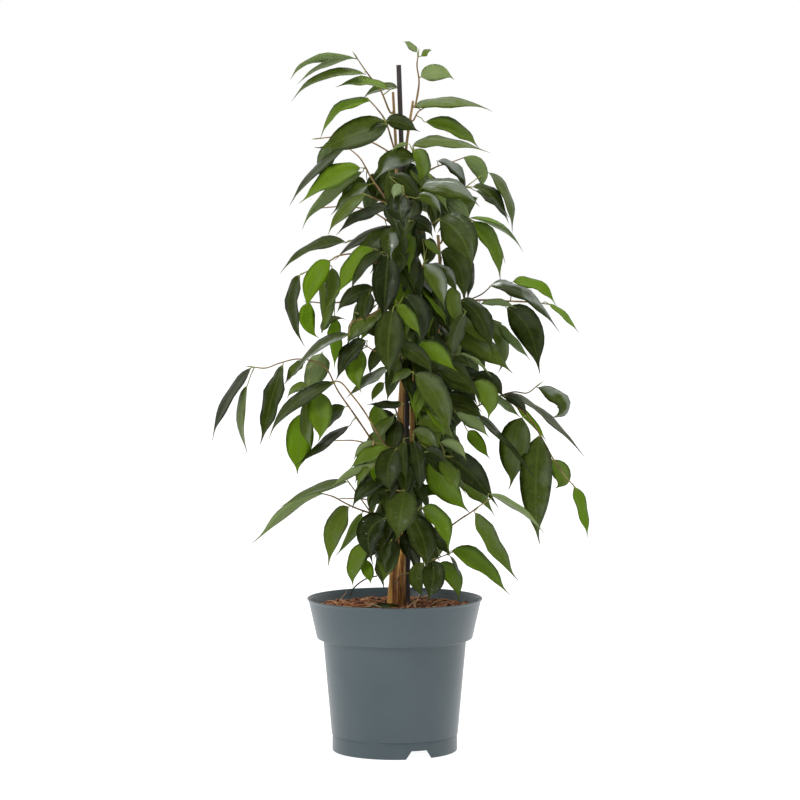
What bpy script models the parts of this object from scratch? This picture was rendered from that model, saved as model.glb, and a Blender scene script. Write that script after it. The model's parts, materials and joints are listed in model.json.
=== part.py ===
"""A weeping fig in its nursery pot: pot, soil, stake, three stems and the leafy sprays, in metres, +Z up.

The origin is the middle of the pot's base. The front of the plant faces -Y. Twigs and leaves are placed by where
they show in a front view of the plant, which is 800 by 800 points, and by how far they lie behind the pot's axis.
"""

import math
import random

import bmesh
import bpy
from mathutils import Vector
from mathutils.bvhtree import BVHTree
from mathutils.geometry import intersect_point_line

# Pot
RIM_RADIUS = 0.106
RIM_HEIGHT = 0.185
WALL = 0.0016
LIP = 0.0022
LIP_HEIGHT = 0.0045
LIP_EDGE = 0.001
BAND_HEIGHT = 0.048
BAND_FOOT_RADIUS = 0.0944
BODY_TOP_RADIUS = 0.0865
STEP_HEIGHT = 0.003
ROUNDING = 0.0008
FOOT_RADIUS = 0.0756
FOOT_HEIGHT = 0.020
FOOT_STEP = 0.0008
FOOT_WALL = 0.0024
BOSS_RADIUS = 0.016
BASE_HEIGHT = 0.0105
BASE_THICKNESS = 0.0022
POT_SIDES = 32
NOTCHES = 2
NOTCH_FOOT_WIDTH = 0.0336
NOTCH_TOP_WIDTH = 0.020
NOTCH_HEIGHT = 0.010
NOTCH_REACH = 0.008
FIRST_NOTCH_TURN = math.radians(-67)
DRAIN_HOLES = 4
DRAIN_RADIUS = 0.006
DRAIN_RING = 0.045
CUT_BEYOND = 0.004

# Soil
GAP = 0.0003
SOIL_TOP = 0.170
SOIL_MOUND = 0.003
SOIL_BUMP = 0.0012
SOIL_RINGS = (0.024, 0.050, 0.074, 0.0935)
SOIL_SIDES = 24
HOLE_SIDES = 8

# Stake
STAKE_RADIUS = 0.0029
STAKE_SIDES = 8
STAKE_DEPTH = 0.14

# The front view: where the eye is, how far it looks down, and its scale
EYE = Vector((0.0063, -3.61, 0.63))
LOOK_DOWN = math.radians(3.26)
VIEW_MIDDLE = 400
VIEW_SCALE = 3000
METRES_PER_POINT = 0.0012034

# Leaves
BLADE = 0.0007
CLEAR = 0.0006
TWIG_RADIUS = 0.0015
TWIG_TIP_RADIUS = 0.0012
STALK_WIDTH = 0.0010
LEAST_STALK = 0.003
ROOT_LEAST, ROOT_MOST = 0.11, 0.89
KNEE_RUN = 0.002
KNEE_BEND = 0.5
LEAF_SHARE = 0.40
WIDTH_SHARE = 1.1
WIDEST = 0.034
NARROWEST = 0.012
LEAST_LENGTH_SHARE = 2.1
MOST_LEAN = 0.040
MOST_ROLL = math.radians(78)
STATIONS = ((0.0, 0.06), (0.16, 0.78), (0.44, 1.0), (0.74, 0.66), (1.0, 0.05))
NARROW_STATIONS = ((0.0, 0.08), (0.24, 0.95), (0.66, 0.82), (1.0, 0.05))
NARROW_LEAF = 0.023
WELD = 0.0001
NEARLY_FLAT = math.radians(1.5)
SHIFT_STEP = 0.005
MOST_SHIFTS = 26

# How a leaf shows from the front: which face, and in part how light it is
DARK, MID, VIVID, LIME, SHEEN = "dark", "mid", "vivid", "lime", "sheen"
PALE = "pale"
HIDDEN = "hidden"

# Stems: name, radii at foot and top, and the middle line as it shows from the front, with its depth
STEMS = {
    "left": (0.0049, 0.0016, (
        (391.5, 608, -0.012), (394, 560, -0.012), (396, 530, -0.012), (399, 485, -0.012), (400.5, 450, -0.012),
        (401.5, 400, -0.012), (406, 335, -0.013), (406, 290, -0.013), (405, 250, -0.012), (398, 215, -0.010),
        (396, 150, -0.008), (393, 92, -0.006))),
    "right": (0.0039, 0.0014, (
        (401, 606, 0.006), (402, 575, 0.009), (404.5, 540, 0.013), (409, 505, 0.015), (412, 470, 0.015),
        (412, 400, 0.015), (411, 320, 0.015), (410, 250, 0.014), (406, 190, 0.013), (406, 150, 0.011),
        (412, 108, 0.004), (413, 101, 0.002))),
    "back": (0.0035, 0.0015, (
        (405, 602, 0.018), (409, 545, 0.026), (415, 480, 0.034), (427, 400, 0.038), (437, 335, 0.038),
        (441, 290, 0.036), (438, 235, 0.030))),
}
STAKE_LINE = (
    (408, 606, 0.001), (407.2, 500, 0.001), (406.5, 400, 0.001), (405, 280, 0.000), (402, 163, -0.001),
    (398.7, 65, -0.002))
STEM_SIDES = 6
STEM_DEPTH = 0.060

# Sprays: stem, the row at which the twig leaves it, the twig's points, side twigs (each from a point of the main
# twig), and the leaves as (stalk end, middle, tip) with their width, look and, where set, a depth of their own
SPRAYS = (
    ("left", 112, ((381, 91, -.014), (371, 78, -.020), (363, 67, -.024), (357, 58, -.026)), (), (
        (357, 57, 305, 57, 290, 80, 5, PALE), (342, 57, 315, 60, 291, 72, 4, PALE, -.012),
        (362, 74, 325, 71, 291, 100, 9, MID, -.034), (388, 89, 362, 74, 336, 88, 9, VIVID, -.030),
        (397, 87, 379, 83, 361, 100, 8, SHEEN, -.036))),
    ("left", 148, ((386, 122, -.034), (378, 110, -.042), (371, 102, -.046)), (), (
        (370, 101, 342, 102, 320, 139, 10, LIME), (388, 124, 350, 132, 318, 153, 27, MID),
        (385, 124, 375, 124, 368, 133, 5, DARK), (386, 121, 403, 119, 419, 133, 15, DARK, -.046))),
    ("left", 210, ((372, 179, .020), (366, 168, .028), (359, 157, .034), (346, 146, .040)), (), (
        (346, 146, 313, 165, 289, 206, 9, DARK), (360, 168, 325, 174, 301, 205, 20, VIVID, .020),
        (362, 172, 325, 192, 300, 228, 12, PALE, .030), (368, 185, 349, 193, 331, 216, 12, SHEEN, .010),
        (373, 174, 372, 192, 392, 205, 15, DARK, .014), (366, 184, 350, 178, 340, 200, 13, SHEEN, .034))),
    ("left", 224, ((390, 206, -.030), (378, 200, -.042), (367, 195, -.050)), (), (
        (365, 195, 344, 206, 327, 234, 12, MID), (394, 208, 362, 207, 336, 235, 11, DARK, -.034))),
    ("left", 238, ((392, 226, .012), (368, 234, .030), (350, 241, .044)), (), (
        (393, 227, 360, 234, 334, 261, 9, DARK, .006), (345, 242, 309, 240, 279, 273, 10, DARK, .046))),
    ("left", 270, ((378, 263, -.034), (358, 260, -.050), (352, 254, -.054), (338, 256, -.056), (331, 260, -.056),
                   (318, 266, -.050), (304, 273, -.044)), (((378, 263, -.034), (388, 254, -.076)),), (
        (388, 255, 385, 287, 384, 321, 27, DARK, -.090),
        (330, 261, 309, 276, 307, 312, 20, LIME, -.060), (332, 268, 337, 290, 323, 315, 14, MID, -.044),
        (373, 249, 348, 261, 340, 296, 20, LIME, -.052), (383, 252, 357, 261, 351, 293, 10, DARK, -.062),
        (300, 275, 284, 302, 304, 348, 13, DARK, -.040))),
    ("left", 305, ((370, 300, .016), (345, 302, .030), (325, 303, .036), (312, 302, .038)), (), (
        (310, 303, 301, 320, 318, 340, 16, LIME), (322, 331, 327, 313, 347, 320, 8, MID, .026),
        (335, 318, 338, 340, 334, 368, 14, LIME, .034))),
    ("left", 492, ((388, 470, -.020), (374, 444, -.040), (354, 414, -.052), (338, 391, -.058), (324, 366, -.062),
                   (300, 359, -.060), (280, 363, -.056), (266, 368, -.052), (253, 367, -.048)), (), (
        (251, 368, 228, 392, 212, 440, 10, DARK), (247, 386, 233, 418, 249, 455, 9, MID, -.060),
        (283, 365, 265, 394, 261, 445, 17, DARK, -.060), (322, 353, 318, 374, 302, 391, 22, PALE, -.040),
        (306, 386, 296, 383, 286, 399, 8, MID, -.058), (349, 426, 320, 438, 297, 459, 8, DARK, -.066),
        (345, 407, 326, 412, 320, 438, 14, SHEEN, -.050))),
    ("left", 474, ((390, 452, -.050), (379, 436, -.074), (364, 411, -.084), (351, 394, -.088), (340, 382, -.090),
                   (328, 383, -.092), (319, 388, -.092)), (), (
        (319, 390, 293, 406, 267, 442, 12, DARK, -.098), (317, 392, 322, 416, 321, 442, 24, VIVID, -.086),
        (300, 415, 284, 446, 296, 476, 26, LIME, -.080))),
    ("left", 352, ((390, 352, -.048), (378, 352, -.064), (366, 346, -.070)), (), (
        (366, 341, 343, 350, 338, 382, 16, DARK, -.076), (362, 350, 349, 366, 361, 393, 21, VIVID, -.060),
        (388, 368, 366, 378, 346, 399, 9, SHEEN, -.064), (384, 383, 375, 389, 371, 403, 8, MID, -.052))),
    ("left", 316, ((388, 300, -.050), (378, 291, -.064)),
     (((388, 300, -.050), (374, 314, -.066), (362, 319, -.074), (352, 322, -.078), (349, 333, -.078)),), (
        (374, 289, 350, 290, 336, 313, 15, DARK, -.068), (370, 292, 362, 305, 365, 324, 16, DARK, -.090),
        (349, 335, 313, 337, 287, 386, 8, SHEEN, -.080), (377, 319, 358, 322, 346, 346, 15, MID, -.074))),
    ("right", 168, ((411, 158, -.030), (413, 150, -.046)), (), (
        (408, 144, 400, 144, 391, 151, 4, PALE, -.050), (413, 150, 432, 162, 416, 187, 15, MID, -.052),
        (416, 160, 384, 150, 378, 182, 19, SHEEN, -.066), (416, 166, 404, 172, 417, 197, 17, DARK, -.060),
        (413, 146, 437, 136, 490, 152, 11, MID, -.040))),
    ("right", 120, ((418, 112, .016), (424, 108, .024)), (), (
        (424, 105, 455, 98, 495, 110, 11, MID, .026), (416, 112, 462, 112, 479, 152, 15, VIVID, .016))),
    ("right", 106, ((418, 92, -.006), (419, 80, -.010), (417, 66, -.012), (418, 56, -.014)), (), (
        (417, 52, 411, 44, 403, 41, 6, PALE), (421, 56, 427, 51, 432, 50, 6, MID, -.016),
        (421, 77, 437, 67, 455, 79, 16, PALE, -.018))),
    ("right", 196, ((422, 176, .034), (436, 167, .044), (449, 163, .050), (463, 158, .054)), (), (
        (438, 161, 461, 165, 466, 194, 10, SHEEN, .040), (464, 158, 488, 166, 480, 191, 15, PALE, .054))),
    ("right", 208, ((420, 194, -.036), (445, 188, -.052), (468, 187, -.058)), (), (
        (422, 188, 454, 181, 480, 206, 18, SHEEN, -.060), (473, 187, 498, 187, 507, 219, 9, DARK),
        (489, 173, 513, 190, 512, 233, 10, MID, -.050), (476, 191, 497, 199, 510, 224, 8, SHEEN, -.066))),
    ("back", 242, ((448, 218, .044), (460, 216, .050), (469, 219, .054)), (), (
        (442, 210, 459, 200, 472, 223, 16, PALE, .040), (471, 223, 498, 238, 500, 282, 16, VIVID),
        (472, 218, 491, 216, 509, 230, 4, LIME, .060), (470, 218, 503, 219, 524, 252, 4, PALE, .068),
        (472, 221, 496, 231, 506, 264, 5, PALE, .046))),
    ("right", 246, ((424, 230, -.050), (436, 221, -.072)), (), (
        (440, 220, 466, 228, 474, 272, 32, DARK, -.078), (410, 221, 426, 219, 433, 238, 14, DARK, -.070))),
    ("back", 272, ((441, 260, -.004), (440, 253, -.020)), (), (
        (441, 252, 468, 258, 463, 305, 24, DARK, -.026), (450, 255, 480, 266, 464, 302, 14, DARK, -.008))),
    ("left", 246, ((402, 224, -.055), (405, 205, -.080), (404, 192, -.090)), (), (
        (403, 194, 396, 206, 404, 225, 24, DARK, -.098), (391, 177, 411, 180, 420, 209, 16, DARK, -.086),
        (402, 186, 396, 189, 393, 199, 11, PALE, -.100), (417, 198, 434, 194, 442, 216, 11, SHEEN, -.084),
        (397, 231, 383, 238, 392, 261, 18, SHEEN, -.074), (403, 226, 400, 246, 402, 268, 13, DARK, -.066),
        (407, 254, 399, 272, 408, 292, 14, DARK, -.050))),
    ("right", 296, ((419, 272, -.050), (425, 263, -.070)), (), (
        (424, 265, 442, 277, 443, 310, 18, SHEEN, -.080), (430, 265, 449, 272, 458, 294, 13, SHEEN, -.062),
        (430, 238, 430, 252, 424, 269, 15, DARK, -.052), (420, 262, 411, 280, 422, 302, 16, DARK, -.048),
        (436, 288, 440, 308, 449, 329, 20, DARK, -.040), (424, 240, 434, 246, 441, 258, 8, VIVID, -.060))),
    ("left", 330, ((400, 312, -.070), (397, 303, -.094)), (), (
        (393, 309, 386, 342, 389, 378, 27, DARK, -.108), (397, 305, 409, 316, 422, 337, 14, VIVID, -.100),
        (405, 296, 424, 312, 420, 350, 25, DARK, -.084))),
    ("right", 364, ((413, 348, -.056), (410, 341, -.080)), (), (
        (399, 346, 419, 350, 435, 376, 16, DARK, -.098), (415, 347, 439, 346, 456, 374, 18, VIVID, -.086),
        (424, 362, 452, 362, 480, 394, 18, DARK, -.064))),
    ("right", 398, ((413, 382, -.050), (413, 374, -.070)), (), (
        (415, 374, 445, 392, 449, 439, 24, MID, -.084), (412, 372, 401, 371, 390, 386, 9, MID, -.090),
        (412, 398, 426, 402, 434, 421, 11, MID, -.040), (418, 424, 436, 416, 457, 441, 17, MID, -.046))),
    ("left", 418, ((392, 404, -.050), (380, 403, -.066)), (), (
        (402, 404, 385, 405, 366, 404, 7, DARK, -.084), (376, 404, 381, 432, 400, 459, 20, VIVID, -.072))),
    ("left", 464, ((396, 450, -.062), (388, 447, -.080)), (), (
        (388, 450, 368, 451, 349, 469, 14, VIVID, -.096), (376, 443, 362, 446, 353, 460, 10, PALE, -.078),
        (380, 464, 352, 468, 331, 488, 9, PALE, -.088), (370, 469, 360, 471, 357, 489, 7, MID, -.082),
        (377, 464, 374, 472, 374, 482, 9, LIME, -.066))),
    ("left", 534, ((382, 522, -.040), (373, 515, -.054), (361, 499, -.064), (350, 484, -.070)), (), (
        (347, 482, 316, 485, 279, 508, 7, MID), (386, 518, 358, 526, 374, 564, 25, DARK, -.078))),
    ("left", 514, ((378, 515, -.016), (361, 510, -.030), (347, 504, -.038), (334, 497, -.044), (324, 494, -.046)),
     (), (
        (322, 494, 293, 498, 253, 546, 11, PALE), (350, 505, 329, 522, 330, 567, 19, MID, -.034),
        (362, 513, 357, 532, 335, 557, 9, VIVID, -.020))),
    ("left", 502, ((392, 490, -.054), (386, 480, -.072)), (((392, 490, -.054), (403, 491, -.084)),), (
        (404, 491, 402, 514, 396, 541, 30, DARK, -.094),
        (386, 480, 364, 482, 351, 509, 14, DARK), (388, 490, 374, 493, 368, 514, 11, DARK, -.066),
        (396, 449, 382, 470, 391, 494, 25, DARK, -.088))),
    ("right", 456, ((413, 444, -.040), (413, 437, -.056)), (), (
        (413, 440, 423, 464, 419, 494, 15, DARK, -.072), (404, 440, 402, 460, 407, 481, 13, DARK, -.076),
        (414, 431, 430, 434, 438, 451, 17, MID, -.060), (426, 448, 434, 460, 447, 480, 12, DARK, -.050))),
    ("right", 478, ((424, 464, -.016), (436, 456, -.030), (446, 456, -.034)), (), (
        (431, 459, 440, 487, 470, 512, 26, VIVID, -.050), (441, 442, 458, 443, 467, 461, 11, PALE, -.046),
        (446, 456, 470, 464, 498, 508, 24, DARK, -.032), (426, 452, 437, 450, 446, 464, 13, DARK, -.058))),
    ("back", 500, ((424, 494, .030), (440, 486, .024), (456, 482, .020)), (), (
        (456, 480, 480, 488, 495, 517, 12, MID), (416, 495, 431, 483, 452, 499, 10, VIVID, .012))),
    ("right", 545, ((418, 541, .016), (434, 535, .004), (449, 527, -.012), (462, 518, -.026), (470, 513, -.034),
                    (478, 507, -.040), (487, 501, -.044)), (), (
        (475, 513, 489, 540, 517, 583, 15, MID, -.060), (490, 494, 521, 503, 546, 535, 8, PALE, -.062))),
    ("left", 536, ((401, 529, -.036), (414, 516, -.056), (418, 510, -.062)), (), (
        (422, 508, 447, 516, 449, 553, 17, VIVID, -.080), (411, 516, 429, 540, 427, 569, 26, DARK, -.066))),
    ("left", 580, ((402, 575, -.034), (420, 570, -.042), (434, 560, -.052), (448, 554, -.056)), (), (
        (452, 551, 488, 553, 508, 597, 16, VIVID), (434, 541, 445, 543, 450, 557, 9, DARK, -.050),
        (437, 566, 458, 568, 459, 602, 16, VIVID, -.036), (450, 556, 458, 567, 461, 582, 3, DARK, -.060),
        (432, 561, 437, 581, 427, 601, 22, DARK, -.078), (424, 563, 409, 577, 424, 598, 16, DARK, -.066),
        (408, 531, 402, 545, 410, 561, 12, DARK, -.034))),
    ("left", 566, ((388, 547, -.040), (374, 544, -.054)), (), (
        (368, 543, 350, 562, 353, 587, 16, VIVID), (364, 560, 369, 572, 371, 584, 12, LIME, -.046),
        (391, 541, 375, 560, 386, 592, 13, DARK, -.064))),
    ("back", 328, ((455, 312, .020), (468, 301, .012), (482, 294, .008), (491, 286, .006)),
     (((468, 301, .012), (484, 300, .026), (506, 301, .036), (528, 302, .042), (547, 304, .046)),), (
        (491, 286, 526, 280, 560, 334, 12, SHEEN, -.002), (513, 282, 542, 278, 556, 306, 11, LIME, .030),
        (549, 304, 567, 314, 579, 334, 6, LIME), (481, 304, 500, 298, 517, 309, 7, PALE, .018),
        (508, 308, 543, 318, 538, 374, 29, DARK, .044))),
    ("back", 350, ((456, 334, .050), (472, 322, .060), (486, 318, .066), (496, 321, .070)), (), (
        (487, 319, 510, 340, 500, 374, 14, MID), (499, 324, 510, 341, 532, 360, 9, PALE, .078))),
    ("back", 316, ((450, 316, -.004), (457, 303, -.020)), (), (
        (461, 300, 487, 312, 492, 355, 20, DARK, -.034), (453, 333, 484, 341, 512, 374, 22, MID, -.022),
        (448, 313, 456, 322, 462, 335, 12, MID, -.040), (452, 287, 452, 305, 462, 332, 15, MID, -.030),
        (447, 318, 474, 318, 494, 349, 17, MID, -.020))),
    ("right", 388, ((428, 368, -.034), (444, 358, -.050)), (), (
        (453, 361, 462, 356, 471, 367, 7, DARK), (459, 354, 477, 357, 492, 378, 4, PALE, -.040),
        (471, 378, 496, 376, 503, 399, 17, DARK, -.034), (474, 382, 497, 394, 487, 420, 20, VIVID, -.050),
        (440, 372, 461, 376, 481, 398, 20, DARK, -.062),
        (446, 374, 470, 368, 498, 398, 15, DARK, -.030), (438, 402, 460, 392, 483, 412, 14, DARK, -.040))),
    ("back", 424, ((446, 408, -.006), (456, 406, -.018)), (), (
        (448, 400, 466, 402, 485, 420, 15, DARK, -.030), (456, 413, 474, 418, 489, 438, 14, PALE, -.016),
        (468, 431, 477, 440, 490, 460, 13, LIME, -.004), (476, 415, 500, 430, 541, 487, 6, DARK, -.026))),
    ("back", 440, ((446, 424, .050), (470, 410, .058), (495, 398, .062), (513, 392, .064), (527, 393, .066),
                   (537, 386, .068)),
     (((495, 398, .062), (510, 402, .050), (524, 412, .044), (536, 428, .040), (545, 444, .038), (554, 460, .036),
       (566, 477, .034), (573, 485, .034)),), (
        (538, 385, 585, 386, 552, 418, 14, SHEEN), (512, 393, 547, 412, 586, 458, 6, DARK, .076),
        (503, 396, 521, 396, 527, 416, 9, DARK, .058), (494, 396, 508, 407, 521, 418, 8, PALE, .046),
        (515, 405, 532, 420, 547, 442, 7, LIME, .030), (520, 418, 499, 446, 514, 491, 30, MID, .048),
        (539, 436, 533, 486, 538, 544, 31, MID, .032), (553, 458, 577, 468, 556, 486, 18, VIVID, .040),
        (574, 487, 577, 510, 588, 538, 12, LIME))),
)

# Where the plant is too dense to see through from the front, as outlines in the front view
DENSE = (
    ((372, 160), (418, 162), (425, 180), (478, 185), (482, 200), (465, 205), (465, 220), (440, 240), (425, 232),
     (420, 222), (412, 240), (402, 245), (380, 232), (395, 215), (350, 212), (335, 205), (345, 190), (370, 180)),
    ((374, 258), (400, 255), (412, 262), (430, 265), (445, 300), (470, 300), (488, 330), (490, 350), (460, 350),
     (440, 335), (425, 340), (412, 345), (400, 345), (398, 372), (385, 372), (380, 345), (350, 345), (345, 335),
     (360, 300)),
    ((402, 345), (440, 340), (455, 365), (480, 385), (500, 390), (490, 415), (470, 418), (448, 440), (430, 440),
     (414, 430), (412, 412), (412, 385), (402, 372)),
    ((372, 408), (396, 408), (398, 425), (402, 440), (425, 440), (425, 490), (412, 495), (404, 490), (392, 492),
     (366, 500), (350, 505), (360, 490), (345, 470), (355, 455), (375, 445)),
    ((430, 445), (465, 455), (478, 490), (470, 505), (440, 492), (425, 478)),
    ((362, 520), (384, 515), (388, 492), (412, 492), (412, 515), (425, 512), (447, 520), (450, 545), (440, 560),
     (430, 600), (415, 585), (412, 560), (404, 560), (404, 535), (392, 535), (392, 548), (384, 590), (376, 560),
     (365, 560)),
)
THICKET_SEED = 11
THICKET_LEAVES = 25
THICKET_TRIES = 1500
THICKET_DEPTH = (-0.055, 0.075)
THICKET_LEAF = (0.045, 0.068)
THICKET_REACH = 0.055
OPEN_SHARE = 0.3

# The hidden back of the plant: twigs by a rule, kept only where the front hides their leaves
BACK_SEED = 3700
BACK_SPRAYS = 8
BACK_TRIES = 90
BACK_LEAVES = 4
BACK_TWIG = (0.080, 0.140)
BACK_TURN = (math.radians(30), math.radians(150))
BACK_TOP_ROW, BACK_FOOT_ROW = 150, 560
BACK_STEMS = ("back", "right", "left")
BACK_STEM_TOP_ROW = 250
BACK_START_DEPTH = 0.015
BACK_STEPS = (0.4, 0.7, 1.0)
BACK_RISE, BACK_DROOP = 0.55, 0.35
BACK_LEAF_TRIES = 16
BACK_LEAF = (0.058, 0.078)
HIDDEN_SHARE = 0.85

# The leaf that lies on the soil
FALLEN_FOOT = Vector((0.004, -0.030, 0))
FALLEN_LENGTH = 0.040
FALLEN_WIDTH = 0.017
FALLEN_LIFT = 0.0017


def clear_scene():
    for obj in list(bpy.data.objects):
        bpy.data.objects.remove(obj)


def material(name, colour, roughness, metallic=0.0):
    made = bpy.data.materials.new(name)
    made.use_nodes = True
    shader = made.node_tree.nodes["Principled BSDF"]
    shader.inputs["Base Color"].default_value = (*colour, 1)
    shader.inputs["Roughness"].default_value = roughness
    shader.inputs["Metallic"].default_value = metallic
    return made


def add_object(name, points, faces, finish=None):
    mesh = bpy.data.meshes.new(name)
    mesh.from_pydata([tuple(p) for p in points], [], faces)
    mesh.validate()
    obj = bpy.data.objects.new(name, mesh)
    bpy.context.scene.collection.objects.link(obj)
    if finish:
        mesh.materials.append(finish)
    return obj


def apply_modifiers(obj):
    """Keeps the evaluated mesh, so that the cutters and the joined pieces can go."""
    bpy.context.view_layer.update()
    graph = bpy.context.evaluated_depsgraph_get()
    made = bpy.data.meshes.new_from_object(obj.evaluated_get(graph))
    obj.modifiers.clear()
    obj.data = made


# Places in the front view


def at(x, y, depth):
    """The point that shows at x, y in the front view, this far behind the pot's axis."""
    up, ahead = VIEW_MIDDLE - y, VIEW_SCALE
    ray = Vector((
        x - VIEW_MIDDLE,
        ahead * math.cos(LOOK_DOWN) + up * math.sin(LOOK_DOWN),
        up * math.cos(LOOK_DOWN) - ahead * math.sin(LOOK_DOWN)))
    return EYE + ray * ((depth - EYE.y) / ray.y)


def shown(point):
    """Where a point shows in the front view."""
    ray = point - EYE
    ahead = ray.y * math.cos(LOOK_DOWN) - ray.z * math.sin(LOOK_DOWN)
    up = ray.y * math.sin(LOOK_DOWN) + ray.z * math.cos(LOOK_DOWN)
    return (VIEW_MIDDLE + VIEW_SCALE * ray.x / ahead, VIEW_MIDDLE - VIEW_SCALE * up / ahead)


# Tubes


def ring(middle, along, sides, radius):
    """Points round a middle, square to the tube's direction there."""
    first = along.cross(Vector((0, 1, 0.2))).normalized()
    second = along.cross(first).normalized()
    turns = [2 * math.pi * k / sides for k in range(sides)]
    return [middle + first * (radius * math.cos(t)) + second * (radius * math.sin(t)) for t in turns]


def loft(rings):
    """Faces that join rings of equal count, closed at both ends."""
    sides = len(rings[0])
    points = [p for one in rings for p in one]
    faces = [tuple(reversed(range(sides)))]
    for n in range(len(rings) - 1):
        for k in range(sides):
            a, b = n * sides + k, n * sides + (k + 1) % sides
            faces.append((a, b, b + sides, a + sides))
    last = (len(rings) - 1) * sides
    faces.append(tuple(last + k for k in range(sides)))
    return points, faces


def tube(line, radii, sides):
    rings = []
    for n, (point, radius) in enumerate(zip(line, radii)):
        along = (line[min(n + 1, len(line) - 1)] - line[max(n - 1, 0)]).normalized()
        rings.append(ring(point, along, sides, radius))
    return loft(rings)


def smooth_line(points, between=2):
    """A Catmull-Rom curve through the points, with this many pieces between each two."""
    ends = [points[0] * 2 - points[1], *points, points[-1] * 2 - points[-2]]
    line = []
    for a, b, c, d in zip(ends, ends[1:], ends[2:], ends[3:]):
        for k in range(between):
            t = k / between
            line.append(0.5 * (b * 2 + (c - a) * t + (a * 2 - b * 5 + c * 4 - d) * t ** 2
                               + (b * 3 - a - c * 3 + d) * t ** 3))
    return [*line, points[-1]]


def spaced_radii(first, last, count):
    return [first + (last - first) * k / (count - 1) for k in range(count)]


# Pot


def turned(name, profile, sides, finish):
    """A closed body turned round the pot's axis from a profile that starts and ends on the axis."""
    mesh = bmesh.new()
    rows = []
    for radius, height in profile:
        if radius == 0:
            rows.append([mesh.verts.new((0, 0, height))])
        else:
            turns = [2 * math.pi * k / sides for k in range(sides)]
            rows.append([mesh.verts.new((radius * math.cos(t), radius * math.sin(t), height)) for t in turns])
    for low, high in zip(rows, rows[1:]):
        for k in range(sides):
            corners = [low[k % len(low)], low[(k + 1) % len(low)], high[(k + 1) % len(high)], high[k % len(high)]]
            mesh.faces.new(dict.fromkeys(corners))
    bmesh.ops.recalc_face_normals(mesh, faces=mesh.faces)
    made = bpy.data.meshes.new(name)
    mesh.to_mesh(made)
    mesh.free()
    obj = bpy.data.objects.new(name, made)
    bpy.context.scene.collection.objects.link(obj)
    made.materials.append(finish)
    made.shade_smooth()
    made.set_sharp_from_angle(angle=math.radians(30))
    return obj


def cutter(name, points, faces):
    obj = add_object(name, points, faces)
    obj.hide_render = True
    obj.display_type = "WIRE"
    return obj


def notch_shape(turn):
    """A wedge through the foot's wall that narrows upwards, turned round the pot's axis."""
    flare = (NOTCH_FOOT_WIDTH - NOTCH_TOP_WIDTH) / 2 / NOTCH_HEIGHT
    inside, outside = FOOT_RADIUS - NOTCH_REACH, FOOT_RADIUS + CUT_BEYOND
    points = []
    for z in (-CUT_BEYOND, NOTCH_HEIGHT):
        half = NOTCH_TOP_WIDTH / 2 + flare * (NOTCH_HEIGHT - z)
        for x, y in ((inside, -half), (outside, -half), (outside, half), (inside, half)):
            points.append((x * math.cos(turn) - y * math.sin(turn), x * math.sin(turn) + y * math.cos(turn), z))
    faces = [(0, 3, 2, 1), (4, 5, 6, 7), (0, 1, 5, 4), (1, 2, 6, 5), (2, 3, 7, 6), (3, 0, 4, 7)]
    return points, faces


def cut_all(obj, cutters):
    for k, tool in enumerate(cutters):
        cut = obj.modifiers.new(f"cut {k}", "BOOLEAN")
        cut.operation = "DIFFERENCE"
        cut.object = tool
    apply_modifiers(obj)
    for tool in cutters:
        bpy.data.objects.remove(tool)


def build_pot(plastic):
    """The pot stands on its foot ring and on a boss in the middle, with its base raised between them."""
    band_foot = RIM_HEIGHT - BAND_HEIGHT
    body_top = band_foot - STEP_HEIGHT
    band_top = RIM_RADIUS - LIP
    profile = [
        (0, 0), (BOSS_RADIUS, 0), (BOSS_RADIUS, BASE_HEIGHT), (FOOT_RADIUS - FOOT_WALL, BASE_HEIGHT),
        (FOOT_RADIUS - FOOT_WALL, 0), (FOOT_RADIUS - ROUNDING, 0), (FOOT_RADIUS, ROUNDING),
        (FOOT_RADIUS, FOOT_HEIGHT - FOOT_STEP), (FOOT_RADIUS + FOOT_STEP, FOOT_HEIGHT),
        (BODY_TOP_RADIUS, body_top), (BAND_FOOT_RADIUS - 2 * ROUNDING, band_foot - ROUNDING),
        (BAND_FOOT_RADIUS, band_foot + ROUNDING), (band_top, RIM_HEIGHT - LIP_HEIGHT),
        (RIM_RADIUS, RIM_HEIGHT - LIP_EDGE), (RIM_RADIUS, RIM_HEIGHT), (RIM_RADIUS - WALL, RIM_HEIGHT),
        (band_top - WALL, RIM_HEIGHT - LIP_HEIGHT), (BAND_FOOT_RADIUS - WALL, band_foot + WALL),
        (BODY_TOP_RADIUS - WALL, body_top + WALL), (FOOT_RADIUS - WALL, BASE_HEIGHT + BASE_THICKNESS),
        (0, BASE_HEIGHT + BASE_THICKNESS)]
    pot = turned("pot", profile, POT_SIDES, plastic)
    tools = []
    for k in range(NOTCHES):
        turn = FIRST_NOTCH_TURN + 2 * math.pi * k / NOTCHES
        tools.append(cutter(f"notch {k}", *notch_shape(turn)))
    for k in range(DRAIN_HOLES):
        turn = FIRST_NOTCH_TURN + 2 * math.pi * (k + 0.5) / DRAIN_HOLES
        middle = Vector((DRAIN_RING * math.cos(turn), DRAIN_RING * math.sin(turn), BASE_HEIGHT))
        beyond = Vector((0, 0, CUT_BEYOND))
        line = [middle - beyond, middle + 2 * beyond]
        tools.append(cutter(f"drain {k}", *tube(line, (DRAIN_RADIUS,) * 2, 12)))
    cut_all(pot, tools)
    return pot


def soil_height(radius, turn):
    """The height of the loose surface, a low mound with lumps."""
    mound = SOIL_MOUND * (1 - (radius / SOIL_RINGS[-1]) ** 2)
    lumps = math.sin(5 * turn + 60 * radius) * math.cos(9 * turn - 90 * radius)
    return SOIL_TOP + mound + SOIL_BUMP * lumps


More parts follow.
